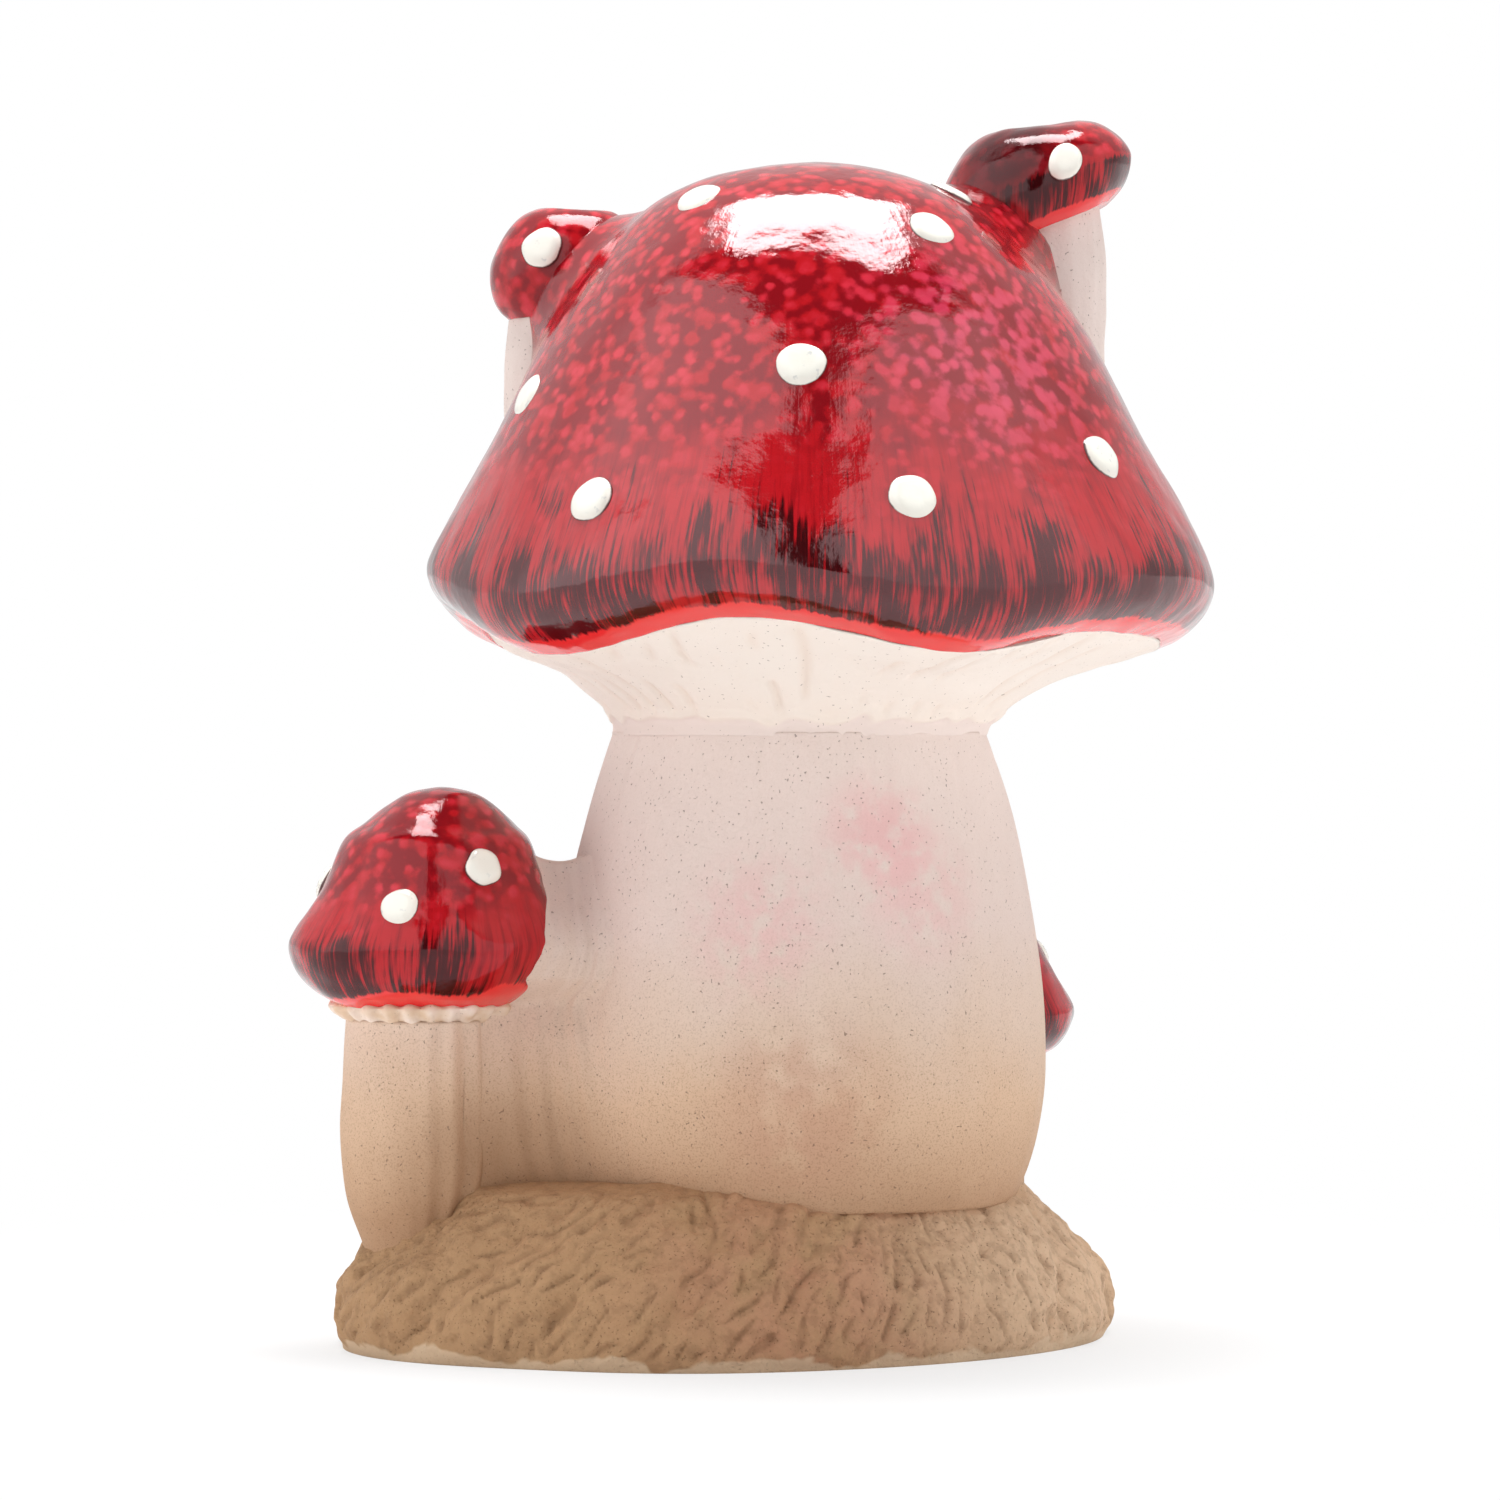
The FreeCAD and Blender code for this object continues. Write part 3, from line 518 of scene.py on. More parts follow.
gill.bumped(gill.sum((gill.blots(0.8, detail=4), 0.6), (gill.blots(3.0), 1.0)), 0.14)
fitted(gill_funnel, "gill_funnel", gill.material)

# Large cap. A hollow dome with a rolled, wavy rim. Crimson is sponged over its top and brushed down its
# side, dark strokes rise from the rim, and a clear gloss glaze runs over it all.

CAP_SHARES = (
    (1.0, 0.0, 0.0),
    (0.998, 0.075, 0.0),
    (0.968, 0.261, 0.0),
    (0.904, 0.420, 0.0),
    (0.795, 0.556, 0.0),
    (0.672, 0.665, 0.0),
    (0.536, 0.757, 0.0),
    (0.399, 0.838, 0.1),
    (0.273, 0.920, 0.3),
    (0.175, 0.980, 0.6),
    (0.115, 1.000, 0.8),
    (0.064, 0.979, 0.9),
    (0.024, 0.927, 1.0),
    (0.000, 0.864, 1.0),
)
CAP_HOLLOW = (
    (0.035, 52.2, 1.0),
    (0.16, 58.6, 0.6),
    (0.40, 50.4, 0.1),
    (0.66, 39.6, 0.0),
    (0.85, 24.0, 0.0),
    (0.92, 12.0, 0.0),
)
CAP_LEAN = -1.8
TOP_LEFT = (-30.9, 12.0)
TOP_RIGHT = (48.6, 20.0)
SHOULDERS = (((*TOP_LEFT, 180), 13, 9, 4.5), ((*TOP_RIGHT, 192), 16.6, 11, 6.0))
RUBY = (0.45, 0.0080, 0.0130, 1)
RUBY_LIGHT = (0.66, 0.032, 0.058, 1)
MAGENTA = (0.62, 0.070, 0.150, 1)
MAROON = (0.120, 0.0020, 0.0060, 1)
SOOT = (0.026, 0.0020, 0.0030, 1)
SCARLET = (0.78, 0.028, 0.028, 1)
THICK_GLAZE = 0.95
BLOOM_SPOT = ((40, -42, 165), 6, 30)
BARE_SPOT = ((-34, -31, 63), 3, 15)
SCORCH_SPOT = ((42, 6, 202), 5, 16)


def cap_skin(rows, count, angles, middle, size, lean=0.0, bend=1, rise=0.0, tilt=0.0, wave=0.0):
    """Skin of a cap from its top to its seam, how far each point has come down, and its strand place.
    The size is the foot's height, the radius and the cap's own height. A ring's middle moves by lean
    times a power of its height share, its radius is a share of the cap's, and its height takes the
    rim's wave and a rise to the right that a tilt adds to near the seam. The fall is 1 at the top, 0
    at the widest ring and -1 at the seam. The strand place turns with the angle at the cap's radius
    and runs down by the way along the skin."""
    foot, radius, height = size
    share, reach, part = upright(through(rows, count + 1)[1:])
    level = foot + height * share + part * wave * rim_wave(angles) / RIM_WAVE
    level = level + (rise + tilt * (1 - share)) * reach * np.cos(angles)
    skin = ring_rows(middle[0] + lean * share ** bend, middle[1], radius * reach + 0 * angles, level, angles)
    widest = int(np.argmax(reach))
    low = share[widest]
    fall = np.where(np.arange(count)[:, None] <= widest, (share - low) / (1 - low), share / low - 1)
    way = np.cumsum(np.linalg.norm(np.diff(skin, axis=0, prepend=skin[:1]), axis=-1), axis=0)
    strand = np.stack([radius * np.cos(angles) + 0 * way, radius * np.sin(angles) + 0 * way, way], axis=-1)
    return skin, fall + 0 * angles, strand * MM


def drawn_up(skin, spots):
    """How far the cap's skin is drawn up round each small toadstool that it carries: a rise times the
    square of one less the gap to a ball there, measured in seam widths."""
    out = np.zeros(skin.shape[:2])
    for middle, radius, width, rise in spots:
        gap = np.clip(np.linalg.norm(skin - np.array(middle), axis=-1) - radius, 0, width)
        out += rise * (1 - gap / width) ** 2
    return out


angles = round_angles(380)
cap_size = (SEAM_HEIGHT, CAP_RADIUS, CAP_HEIGHT)
skin, fall, strand = cap_skin(
    CAP_SHARES, 170, angles, (CAP_X, 0), cap_size, lean=CAP_LEAN, bend=2, wave=RIM_WAVE
)
main_cap_skin = skin
lumps = 0.26 * wander(skin, 30, 41) + 0.045 * wander(skin, 9, 42) + 0.018 * wander(skin, 3.5, 43)
lumps += 0.05 * wander(skin, 5, 44, stretch=(1, 1, 6)) * eased(fall, 0.4, 0.1)
skin = pushed(skin, lumps + drawn_up(skin, SHOULDERS))
hollow = []
for share, inner, wave in CAP_HOLLOW:
    level = SEAM_HEIGHT + CAP_HEIGHT * share + wave * rim_wave(angles)
    hollow.append(ring_rows(CAP_X + CAP_LEAN * share ** 2, 0, inner, level, angles))
hollow = np.stack(hollow)
marks = [
    ("fall", [np.concatenate([fall, np.full(hollow.shape[:2], -1.0)])]),
    ("strand", [np.concatenate([strand, strand[-len(hollow):]])]),
]
main_cap = woven("large_cap", [np.concatenate([skin, hollow])], marks=marks)


def crimson_glaze(name, gloss):
    """Sponged and brushed crimson under a clear glaze of some gloss. The sponged cells show above, the
    strokes that the brush dragged show on the side, and soot rises from the rim in strokes. How far a
    point has come down the cap shares them out, and the strokes run along its strand place."""
    glaze = Finish(name, 0.06, coat=0.15)
    glaze.shader.inputs["Specular IOR Level"].default_value = gloss
    glaze.shader.inputs["Specular Tint"].default_value = (1.0, 0.70, 0.73, 1)
    fall, strand = glaze.mark("fall"), glaze.mark("strand", "Vector")
    spot = glaze.wire("Mapping", {"Vector": glaze.place, "Scale": [1 / (2.3 * MM)] * 3})
    cells = glaze.wire("TexVoronoi", {"Vector": spot, "Scale": 1.0}, feature="SMOOTH_F1")
    cells = glaze.sum((cells, 1.0), (glaze.blots(1.0, detail=2), 0.30), (1.0, -0.15))
    sponge = glaze.sum((cells, 1.1), (glaze.blots(5.0, detail=3), 0.9), (1.0, 0.06))
    dark = glaze.eased(sponge, 0.80, 1.12)
    upper = glaze.eased(glaze.sum((fall, 1.0), (glaze.blots(9.0), 0.5), (1.0, -0.25)), 0.14, 0.42)
    strokes = glaze.blots(0.75, place=strand, stretch=(1, 1, 14), detail=3)
    drag = glaze.eased(strokes, 0.46, 0.66)
    lower = glaze.eased(fall, 0.42, 0.0)
    shade = glaze.sum((glaze.product(dark, upper), 0.66), (glaze.product(drag, lower), 0.52))
    colour = glaze.mixed(shade, RUBY, MAROON)
    cores = glaze.product(glaze.eased(cells, 0.46, 0.14), glaze.eased(glaze.blots(4.0, detail=3), 0.32, 0.62))
    colour = glaze.mixed(glaze.product(cores, glaze.sum((upper, 0.60), (0.08, 1.0))), colour, RUBY_LIGHT)
    bloom = glaze.product(glaze.near(*BLOOM_SPOT), glaze.eased(cells, 0.55, 0.25))
    colour = glaze.mixed(glaze.product(bloom, 0.55), colour, MAGENTA)
    clumps = glaze.blots(8.0, place=strand, stretch=(1, 1, 1.6), detail=3)
    fine = glaze.blots(0.5, place=strand, stretch=(1, 1, 16), detail=4)
    above = glaze.wire("Math", {0: fall, 1: 0.0}, operation="MAXIMUM")
    bare = glaze.near(*BARE_SPOT)
    rising = glaze.sum((fine, 1.7), (strokes, 1.0), (clumps, 2.2), (above, -2.9), (bare, -0.6), (1.0, -2.23))
    soot = glaze.eased(rising, -0.18, 0.34)
    colour = glaze.mixed(glaze.product(soot, 0.93), colour, SOOT)
    colour = glaze.mixed(glaze.product(glaze.near(*SCORCH_SPOT), 0.85), colour, SOOT)
    edge = glaze.sum((fall, 1.0), (strokes, 0.15), (glaze.blots(7), 0.2), (bare, -0.22), (1.0, -0.175))
    colour = glaze.mixed(glaze.eased(edge, -0.74, -0.79), colour, SCARLET)
    glaze.coloured(colour)
    glaze.bumped(glaze.sum((glaze.blots(1.5, detail=5), 1.0), (strokes, 0.25)), 0.065)
    return glaze.material


fitted(main_cap, "main_cap", crimson_glaze("crimson_glaze", THICK_GLAZE))

# Front left toadstool. A small stem with a web of clay between it and the large one, a crimped frill of
# clay, and a bell-shaped cap in the same crimson, under a thinner glaze. The web runs up behind the bell.

SMALL_STEM_RADIUS = 14.3
SMALL_STEM_TOP = 54.0
BELL_SIZE = (57.0, 23.4, 35.7)
BELL_LEAN = 2.6
WEBBED_STEM_SHARES = (
    (1.0, 0.940),
    (0.82, 0.985),
    (0.66, 1.000),
    (0.48, 0.945),
    (0.32, 0.760),
    (0.12, 0.560),
)
BELL_SHARES = (
    (1.0, 0.0, 0.0),
    (0.995, 0.100, 0.0),
    (0.970, 0.270, 0.0),
    (0.900, 0.430, 0.0),
    (0.830, 0.545, 0.0),
    (0.760, 0.655, 0.0),
    (0.616, 0.760, 0.0),
    (0.479, 0.855, 0.0),
    (0.342, 0.965, 0.2),
    (0.272, 1.000, 0.5),
    (0.200, 0.975, 0.8),
    (0.130, 0.915, 1.0),
    (0.062, 0.810, 1.0),
    (0.000, 0.640, 0.0),
)
WEB_FOOT = 18
WEB_TOP = 82.4
WEB_SAG = 3.4
WEB_HUMP = 1.6
WEB_FOLD = 0.45
WEB_FILLETS = ((20, 26), (32, 24), (46, 20), (56, 14), (66, 9), (76, 6.5), (84, 6.0))
THIN_GLAZE = 0.42
FRONT_FRILL = (SMALL_STEM_TOP, 13.4, 15.6)
FRILL_ROWS = (
    (0.0, 0.88),
    (0.6, 0.95),
    (1.3, 0.98),
    (2.1, 1.01),
    (2.9, 1.02),
    (3.6, 0.96),
    (4.2, 0.80),
)

angles = round_angles(240)
share, reach = upright(through(WEBBED_STEM_SHARES, 90))
skin = ring_rows(*FRONT_LEFT, SMALL_STEM_RADIUS * reach + 0 * angles, (SMALL_STEM_TOP + 0.6) * share, angles)
folds = np.sin(19 * angles + 1.4 * wander(skin, 30, 51)) * eased(np.cos(angles + 0.75), 0.55, 0.95)
folds = 0.45 * folds + 0.22 * wander(skin, 16, 52) + 0.10 * wander(skin, 5, 53, stretch=(1, 1, 6))
skin = pushed(skin, folds)


def web_side(side, height, middle, near, turn, arc):
    """One side of the web: at each height an arc round its centre, which lies near from the small
    form's middle. The arc runs from the small form to the large stem, is folded by a random field,
    sinks a little into both at its ends, and sags at the web's top."""
    centre = middle + near[..., None] * np.stack([np.cos(turn), np.sin(turn)], axis=-1)
    back = np.array([STEM_X, 0]) - centre
    swing = (np.arctan2(back[..., 1], back[..., 0]) - turn) % (2 * np.pi) - np.pi
    part = np.linspace(0, 1, 60)
    flat = 0 * height + 0 * part
    spot = np.stack([30 * part + flat, 0.16 * height + flat, side + flat], axis=-1)
    reach = arc - WEB_FOLD * np.sin(np.pi * part) * wander(spot, 5.0, 57)
    heading = turn + np.pi + swing * part
    line = centre + reach[..., None] * np.stack([np.cos(heading), np.sin(heading)], axis=-1)
    for axis, sink in ((middle, eased(part, 0.8, 0)), (np.array([STEM_X, 0]), eased(part, 0.4, 1))):
        off = line - axis
        line = line - 0.30 * sink[:, None] * off / np.linalg.norm(off, axis=-1, keepdims=True)
    sagged = height - WEB_SAG * np.sin(np.pi * part) ** 0.7 * eased(height, WEB_TOP - 14, WEB_TOP)
    return np.concatenate([line, sagged[..., None]], axis=-1)


def clay_web():
    """Web of clay between the front left toadstool and the large stem. At each level its two sides are
    arcs that touch the small form and the large stem. An arc's centre lies at each radius plus the
    arc's own from the two axes, which the cosine rule places. Over the top level both sides bend along
    a quarter of an ellipse to a ridge, and close in a core inside the web."""
    foot, radius, rise = BELL_SIZE
    height = np.linspace(WEB_FOOT, WEB_TOP, 130)[:, None]
    level = np.clip((height - foot) / rise, 0, 1)
    bell = radius * np.interp(level, *np.array(BELL_SHARES[::-1]).T[:2])
    stem = SMALL_STEM_RADIUS * np.interp(height / SMALL_STEM_TOP, *np.array(WEBBED_STEM_SHARES[::-1]).T)
    under = eased(height, 62, 55)
    small = stem * under + bell * (1 - under) - 0.1
    large = barrel_radius(STEM_FOOT, STEM_BELLY, NECK, np.maximum(height, STEM_FOOT[1])) - 0.1
    middle = np.stack([FRONT_LEFT[0] + BELL_LEAN * level, FRONT_LEFT[1] + 0 * level], axis=-1)
    away = np.array([STEM_X, 0]) - middle
    apart, course = np.hypot(away[..., 0], away[..., 1]), np.arctan2(away[..., 1], away[..., 0])
    arc = np.interp(height, *np.array(WEB_FILLETS).T)
    near, far = small + arc, large + arc
    corner = np.arccos(np.clip((near ** 2 + apart ** 2 - far ** 2) / (2 * near * apart), -1, 0.9995))
    sides = [web_side(side, height, middle, near, course + side * corner, arc) for side in (-1, 1)]
    ridge = 0.75 * sides[0][-1:] + 0.25 * sides[1][-1:]
    core = np.broadcast_to(ridge[:, 30:31] - np.array([0, 0, 5.0]), ridge.shape)
    bend = np.radians([18, 36, 54, 72, 90])[:, None, None]
    up = np.array([0, 0, WEB_HUMP]) * np.sin(bend)
    closed = []
    for side in sides:
        over = side[-1:] + (ridge - side[-1:]) * (1 - np.cos(bend)) + up
        closed.append(np.concatenate([side, over, core]))
    return np.concatenate([closed[0], closed[1][:, ::-1]], axis=1)[::-1]


front_left_stem = woven("front_left_stem_clay", [skin, clay_web()])
fitted(front_left_stem, "front_left_stem", bisque)


def frill(middle, size, seed):
    """Crimped collar: a profile that swells out and tucks back under the cap, with its radius waved
    round by a sine that grows outwards. The size is its foot's height and its inner and outer radius."""
    foot, inner, outer = size
    angles = round_angles(260)
    level, reach = upright(through(FRILL_ROWS, 26))
    radius = (inner + (outer - inner) * eased(level, -1, 3)) * reach
    skin = ring_rows(*middle, radius + 0 * angles, foot + level, angles)
    crimp = np.sin(27 * angles + 1.8 * wander(skin, 14, seed)) * eased(level, -1.0, 1.6)
    return pushed(skin, 0.34 * crimp + 0.12 * wander(skin, 4, seed + 1))


front_left_collar = woven("front_left_frill", [frill(FRONT_LEFT, FRONT_FRILL, 54)])
fitted(front_left_collar, "front_left_collar", gill.material)
thin_crimson = crimson_glaze("thin_crimson_glaze", THIN_GLAZE)


def small_cap(name, node, rows, seed, middle, size, flat=None, spread=1.0, clean=-1.0, **shape):
    """Glazed cap of a small toadstool, and its even skin for the dots. A flat top is a height and its
    rise to the right, which the skin stays under. The fall above the widest ring is multiplied by a
    spread, which keeps the strokes low, and held at clean or more."""
    angles = round_angles(220)
    skin, fall, strand = cap_skin(rows, 92, angles, middle, size, **shape)
    if flat:
        skin[..., 2] = np.minimum(skin[..., 2], flat[0] + flat[1] * (skin[..., 0] - middle[0]))
    fall = np.where(fall > 0, np.minimum(1, spread * fall), fall)
    fall = np.maximum(fall, clean)
    lumps = 0.22 * wander(skin, 15, seed) + 0.05 * wander(skin, 5, seed + 1)
    piece = woven(name, [pushed(skin, lumps)], marks=[("fall", [fall]), ("strand", [strand])])
    fitted(piece, node, thin_crimson)
    return skin


front_left_skin = small_cap(
    "front_left_bell", "front_left_cap", BELL_SHARES, 55, FRONT_LEFT, BELL_SIZE, lean=BELL_LEAN, wave=0.5
)

# Rear right toadstool. Like the one in front but smaller, a plain barrel stem with a frill and a bell,
# luted to the back of the large stem where that meets the mound.

REAR_RIGHT = (36.9, 31.0)
REAR_BARREL = ((9.54, 5), (10.6, 23.4), (9.54, 42.5))
REAR_FRILL = (42.5, 9.6, 12.9)
REAR_BELL_SIZE = (45.5, 19.8, 29.5)


def barrel_stem(name, middle, barrel, seed, tilt=0.0):
    """Small barrel stem with the soft ripples of the casting. The barrel is the radius and the height of
    its foot, belly and top. The top rises to the right by a tilt."""
    foot, belly, top = barrel
    angles = round_angles(160)
    height = np.linspace(top[1], foot[1], 70)[:, None]
    level = height + tilt * np.cos(angles) * eased(height, foot[1], top[1]) ** 2
    skin = ring_rows(*middle, barrel_radius(foot, belly, top, height) + 0 * angles, level, angles)
    ripples = 0.2 * wander(skin, 12, seed) + 0.08 * wander(skin, 3, seed + 1, stretch=(1, 1, 7))
    return woven(name, [pushed(skin, ripples)])


rear_right_stem = barrel_stem("rear_right_stem_clay", REAR_RIGHT, REAR_BARREL, 61)
fitted(rear_right_stem, "rear_right_stem", bisque)
rear_right_collar = woven("rear_right_frill", [frill(REAR_RIGHT, REAR_FRILL, 62)])
fitted(rear_right_collar, "rear_right_collar", gill.material)
rear_right_skin = small_cap(
    "rear_right_bell", "rear_right_cap", BELL_SHARES, 64, REAR_RIGHT, REAR_BELL_SIZE, lean=-1.5, wave=0.4
)

# Top toadstools. Two round buttons on short stems, set into the shoulders of the large cap before the
# firing. The glaze of the large cap runs up to them.

BUTTON_SHARES = (
    (1.0, 0.0, 0.0),
    (0.995, 0.160, 0.0),
    (0.970, 0.420, 0.0),
    (0.900, 0.660, 0.0),
    (0.740, 0.860, 0.0),
    (0.540, 0.980, 0.0),
    (0.390, 1.000, 0.0),
    (0.210, 0.970, 0.0),
    (0.080, 0.900, 0.0),
    (0.000, 0.800, 0.0),
)
BUTTON_SPREAD = 2.4
LEFT_BARREL = ((9.9, 145.4), (11, 160.25), (9.9, 173.0))
LEFT_BUTTON_SIZE = (172.4, 13.0, 18.9)
LEFT_BUTTON_FLAT = (190.6, -0.02)
RIGHT_BARREL = ((11.34, 154), (12.6, 172.15), (11.34, 189.2))
RIGHT_BUTTON_SIZE = (187.0, 16.6, 19.2)
RIGHT_BUTTON_FLAT = (205.4, 0.15)

top_left_stem = barrel_stem("top_left_stem_clay", TOP_LEFT, LEFT_BARREL, 71)
fitted(top_left_stem, "top_left_stem", bisque)
top_left_skin = small_cap(
    "top_left_button", "top_left_cap", BUTTON_SHARES, 72, TOP_LEFT, LEFT_BUTTON_SIZE,
    flat=LEFT_BUTTON_FLAT, spread=BUTTON_SPREAD, clean=0.5, rise=0.6,
)
top_right_stem = barrel_stem("top_right_stem_clay", TOP_RIGHT, RIGHT_BARREL, 74, tilt=4.6)
fitted(top_right_stem, "top_right_stem", bisque)
top_right_skin = small_cap(
    "top_right_button", "top_right_cap", BUTTON_SHARES, 75, TOP_RIGHT, RIGHT_BUTTON_SIZE,
    flat=RIGHT_BUTTON_FLAT, spread=BUTTON_SPREAD, rise=2.2, tilt=5.0,
)

# White dots. Drops of thick white enamel from a dotting tool, laid on the fired glaze and fired again.
# Each has a flat top, a round edge and a thin dark line round it, which is a painted shadow.

MAIN_DOTS = (
    (-134.0, 0.908), (-8.0, 0.935), (-56.1, 0.835), (-93.6, 0.538), (-158.7, 0.501), (-127.6, 0.275),
    (-76.7, 0.271), (-36.5, 0.370), (35.0, 0.300), (62.0, 0.680), (92.0, 0.380), (118.0, 0.800),
    (139.0, 0.520), (166.0, 0.270),
)
FRONT_LEFT_DOTS = ((-102.6, 0.462), (-60.9, 0.636), (170.0, 0.560), (95.0, 0.430))
REAR_RIGHT_DOTS = ((20.0, 0.600), (70.0, 0.430), (125.0, 0.620))
TOP_LEFT_DOTS = ((-109.2, 0.588), (150.0, 0.640))
TOP_RIGHT_DOTS = ((-73.8, 0.592), (50.0, 0.640))
DOT_RADIUS = 4.1
SMALL_DOT_RADIUS = 3.3
TOP_LEFT_DOT_RADIUS = 3.7
DROP_TOP = 0.95
DROP_FALL = 1.25
DROP_UNDER = -0.75
ENAMEL = (0.88, 0.86, 0.78, 1)
ENAMEL_GREY = (0.50, 0.52, 0.52, 1)
ENAMEL_EDGE_SHADOW = (0.10, 0.030, 0.030, 1)


def drop(skin, angle, level, radius, seed):
    """Skin of one drop on a cap's grid, and the share of its radius at each point. At the grid's
    nearest point it takes the normal and two directions across it. The top falls from its thickness by
    the fifth power of the share of the radius, and the underside lies a little way down in the glaze.
    Three waves round it, of random strength, make its edge uneven."""
    column = int(round(angle % 360 / 360 * skin.shape[1])) % skin.shape[1]
    row = int(np.argmin(abs(skin[:, column, 2] - level)))
    middle = skin[row, column]
    down = skin[row + 1, column] - skin[row - 1, column]
    down /= np.linalg.norm(down)
    around = skin[row, (column + 1) % skin.shape[1]] - skin[row, column - 1]
    around /= np.linalg.norm(around)
    normal = np.cross(down, around)
    turn = round_angles(40)
    draw = np.random.default_rng(seed)
    waves = sum(draw.uniform(0, 0.035) * np.cos(k * turn + draw.uniform(0, 6)) for k in (2, 3, 5))
    over, under = np.linspace(0.08, 1, 14), np.linspace(0.96, 0.1, 4)
    share = np.concatenate([over, under])[:, None]
    rise = np.concatenate([DROP_TOP - DROP_FALL * over ** 5, np.full(4, DROP_UNDER)])[:, None]
    out = radius * share * (1 + waves)
    flat = out[..., None] * (np.cos(turn)[:, None] * around - np.sin(turn)[:, None] * down)
    return middle + flat + (rise + 0 * turn)[..., None] * normal, share + 0 * turn


def enamel_dots(name, node, skin, places, radius, size, seed):
    """Group of drops on one cap of a size, each at an angle and a share of the cap's height."""
    foot, _, height = size
    drops = [
        drop(skin, angle, foot + height * share, radius, seed + index)
        for index, (angle, share) in enumerate(places)
    ]
    grids, edges = zip(*drops)
    piece = woven(name, grids, marks=[("edge", edges)])
    fitted(piece, node, enamel.material)


enamel = Finish("white_enamel", 0.16, coat=0.6)
# Painted shadow: a thin dark line at the edge of each drop, from the edge mark.
rim = enamel.eased(enamel.sum((enamel.mark("edge"), 1.0), (enamel.blots(1.5), 0.06)), 0.965, 1.01)
smears = enamel.eased(enamel.blots(1.6, detail=3), 0.62, 0.72)
white = enamel.mixed(enamel.product(smears, 0.5), ENAMEL, ENAMEL_GREY)
enamel.coloured(enamel.mixed(rim, white, ENAMEL_EDGE_SHADOW))
enamel.bumped(enamel.blots(1.4, detail=2), 0.06)
enamel_dots("large_cap_drops", "main_cap_dots", main_cap_skin, MAIN_DOTS, DOT_RADIUS, cap_size, 81)
enamel_dots(
    "front_left_drops", "front_left_cap_dots", front_left_skin, FRONT_LEFT_DOTS, SMALL_DOT_RADIUS,
    BELL_SIZE, 101,
)
enamel_dots(
    "rear_right_drops", "rear_right_cap_dots", rear_right_skin, REAR_RIGHT_DOTS, SMALL_DOT_RADIUS,
    REAR_BELL_SIZE, 111,
)
enamel_dots(
    "top_left_drops", "top_left_cap_dots", top_left_skin, TOP_LEFT_DOTS, TOP_LEFT_DOT_RADIUS,
    LEFT_BUTTON_SIZE, 121,
)
enamel_dots(
    "top_right_drops", "top_right_cap_dots", top_right_skin, TOP_RIGHT_DOTS, SMALL_DOT_RADIUS,
    RIGHT_BUTTON_SIZE, 131,
)

# Floor, light and camera. A pale floor that turns into the white background away from the ornament, a
# wide soft light overhead and one on each side, and a room that is white but for a dim strip in front.

FLOOR_TONE = (0.86, 0.86, 0.86, 1)
LAMP_AIM = (0, 0, 0.11)
ROOM_LIGHT = 0.46
ROOM_MIRRORED = 1.40
CAMERA_PLACE = (0.0, -0.925, 0.104)
CAMERA_AIM = (0, 0, 0.099)
LENS = 132.1

bpy.ops.mesh.primitive_plane_add(size=60)
floor = bpy.context.object
floor.name = "floor"
pale = Finish("pale_floor", 0.9)
pale.shader.inputs["Base Color"].default_value = FLOOR_TONE
pale.shader.inputs["Specular IOR Level"].default_value = 0.0
glow = pale.wire("Emission", {"Color": (1, 1, 1, 1), "Strength": 1.0})
rays = pale.tree.nodes.new("ShaderNodeLightPath").outputs
seen = pale.wire("Math", {0: rays["Is Camera Ray"], 1: rays["Is Glossy Ray"]}, operation="MAXIMUM")
seen = pale.wire("Math", {0: seen, 1: rays["Is Transmission Ray"]}, operation="MAXIMUM")
close = pale.near((0, 0, 0), 60, 260)
share = pale.product(seen, pale.sum((close, -0.30), (1.0, 1.0)))
mix = pale.wire("MixShader", {0: share, 1: pale.shader.outputs[0], 2: glow})
pale.tree.links.new(mix, pale.tree.nodes["Material Output"].inputs["Surface"])
floor.data.materials.append(pale.material)


def softbox(name, place, size, radiance, shown=True):
    """Rectangular light that faces the ornament. Its power is pi times its area times its radiance."""
    lamp = bpy.data.lights.new(name, "AREA")
    lamp.shape = "RECTANGLE"
    lamp.size, lamp.size_y = size
    lamp.energy = math.pi * size[0] * size[1] * radiance
    light = bpy.data.objects.new(name, lamp)
    bpy.context.scene.collection.objects.link(light)
    light.location = place
    aim = Vector(LAMP_AIM) - Vector(place)
    light.rotation_euler = aim.to_track_quat("-Z", "Y").to_euler()
    light.visible_glossy = shown


softbox("light_over", (0, 0.12, 1.0), (0.62, 0.42), 12.0)
softbox("light_over_soft", (0, 0.12, 1.1), (0.8, 0.6), 2.0, shown=False)
softbox("light_left", (-1.15, -0.50, 0.40), (0.9, 0.9), 1.9, shown=False)
softbox("light_right", (1.15, -0.50, 0.40), (0.9, 0.9), 1.7, shown=False)

room = bpy.data.worlds.new("white_room")
bpy.context.scene.world = room
room.use_nodes = True
tree = room.node_tree
way = tree.nodes.new("ShaderNodeSeparateXYZ")
tree.links.new(tree.nodes.new("ShaderNodeTexCoord").outputs["Generated"], way.inputs[0])


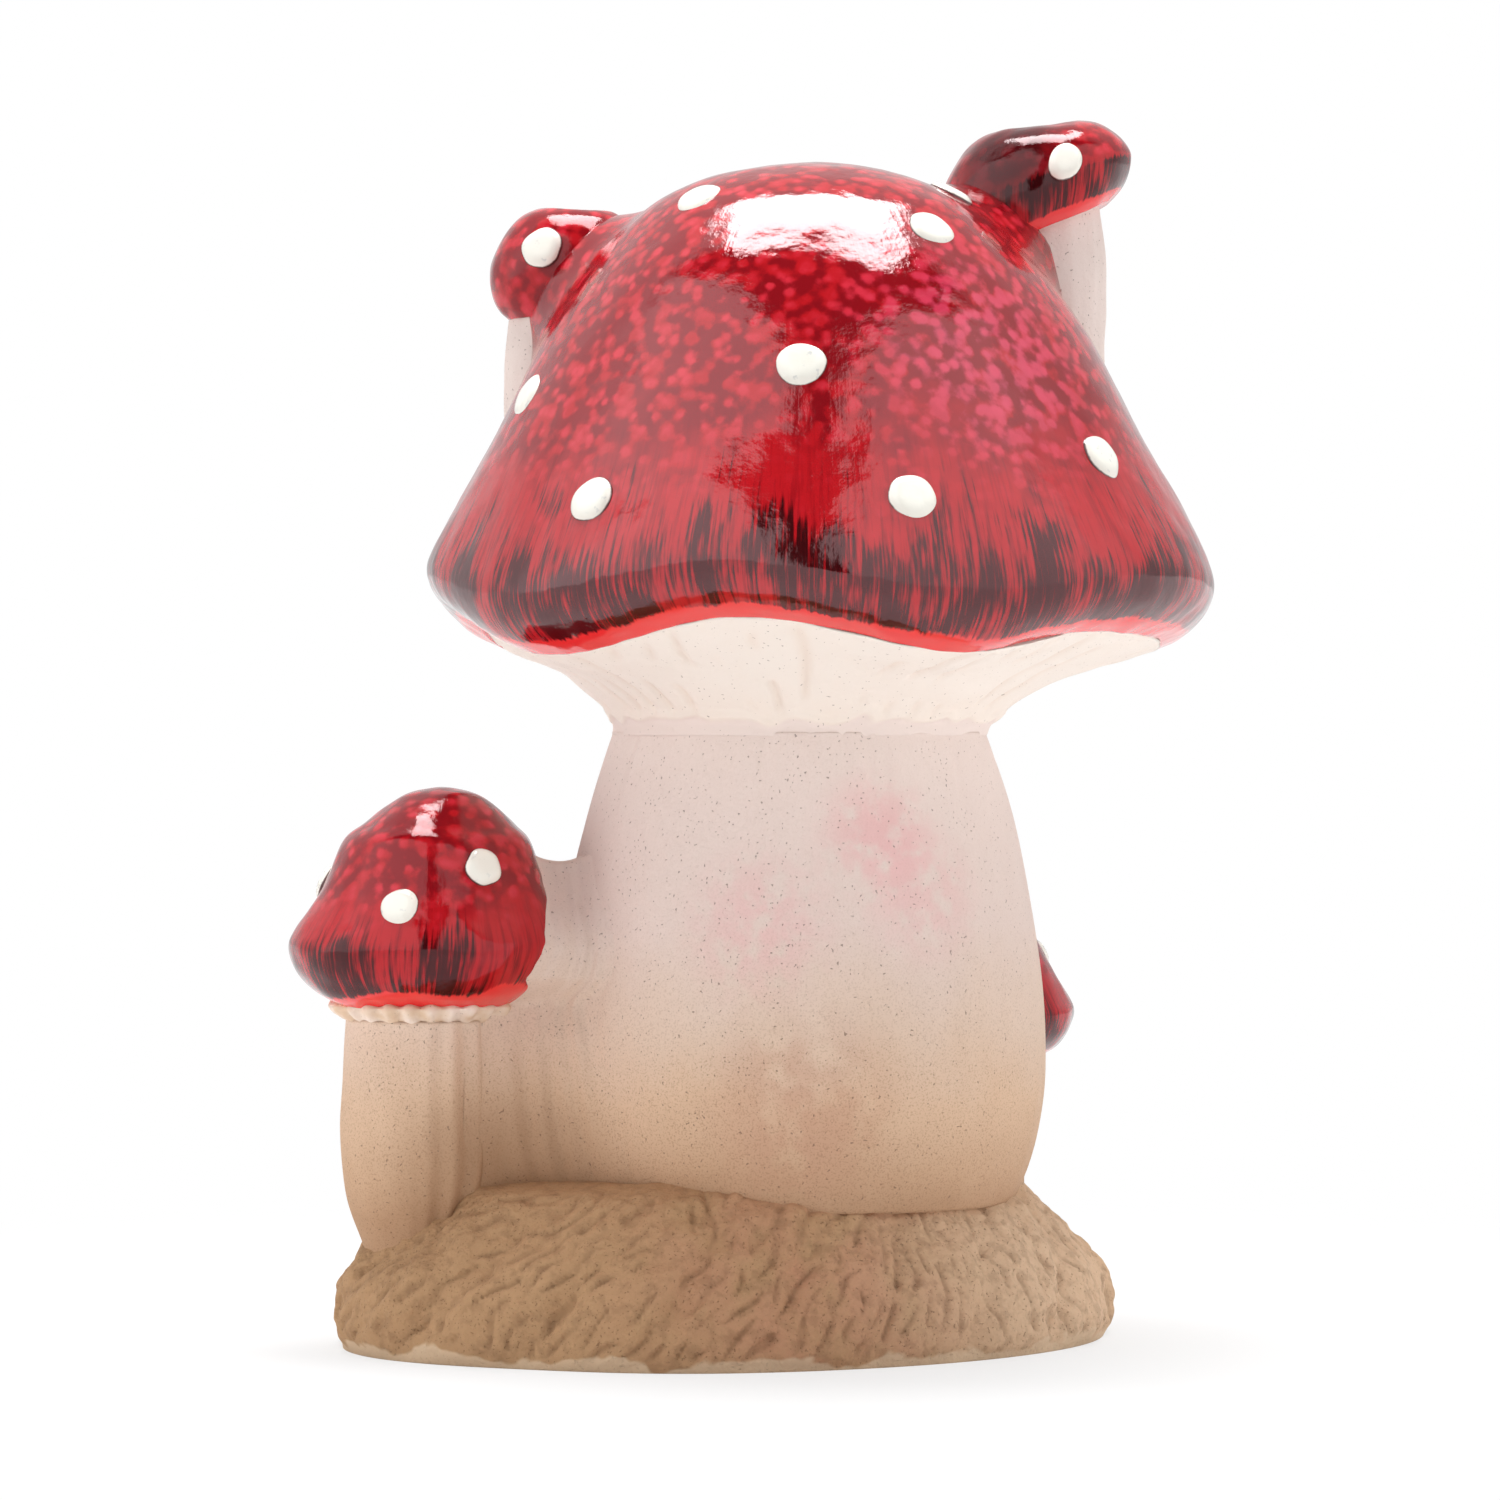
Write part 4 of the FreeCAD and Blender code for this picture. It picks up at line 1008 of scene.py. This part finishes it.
def room_math(operation, first, second, third=0.0):
    """Sum, product or other operation on values of the room."""
    made = tree.nodes.new("ShaderNodeMath")
    made.operation = operation
    for index, value in enumerate((first, second, third)):
        if isinstance(value, bpy.types.NodeSocket):
            tree.links.new(value, made.inputs[index])
        else:
            made.inputs[index].default_value = value
    return made.outputs[0]


def room_line(value, slope, start):
    """A value times a slope plus a start, held between 0 and 1."""
    line = room_math("MULTIPLY_ADD", value, slope, start)
    return room_math("MINIMUM", room_math("MAXIMUM", line, 0.0), 1.0)


across, along = way.outputs[0], way.outputs[1]
width = room_math("MAXIMUM", room_math("MULTIPLY_ADD", along, 0.94, 0.615), 0.11)
strip = room_line(room_math("SUBTRACT", width, room_math("ABSOLUTE", across, 0.0)), 30.0, 0.5)
front = room_line(along, -6.0, 1.2)
behind = room_line(along, 3.0, 0.0)
dim = room_math("MULTIPLY", strip, front)
mirrored = room_math("MULTIPLY_ADD", across, -0.30, ROOM_MIRRORED)
mirrored = room_math("MULTIPLY", mirrored, room_math("MULTIPLY_ADD", behind, -0.5, 1.0))
mirrored = room_math("MULTIPLY", mirrored, room_math("MULTIPLY_ADD", dim, -0.98, 1.0))
rays = tree.nodes.new("ShaderNodeLightPath").outputs
extra = room_math("SUBTRACT", mirrored, ROOM_LIGHT)
strength = room_math("MULTIPLY_ADD", rays["Is Glossy Ray"], extra, ROOM_LIGHT)
clear = room_math("MAXIMUM", rays["Is Camera Ray"], rays["Is Transmission Ray"])
strength = room_math("MAXIMUM", strength, clear)
tree.links.new(strength, tree.nodes["Background"].inputs["Strength"])
tree.nodes["Background"].inputs["Color"].default_value = (1, 1, 1, 1)

lens = bpy.data.cameras.new("camera")
lens.lens = LENS
lens.sensor_width = 36
camera = bpy.data.objects.new("camera", lens)
bpy.context.scene.collection.objects.link(camera)
camera.location = CAMERA_PLACE
aim = Vector(CAMERA_AIM) - Vector(CAMERA_PLACE)
camera.rotation_euler = aim.to_track_quat("-Z", "Y").to_euler()
bpy.context.scene.camera = camera
bpy.context.scene.view_settings.view_transform = "Standard"
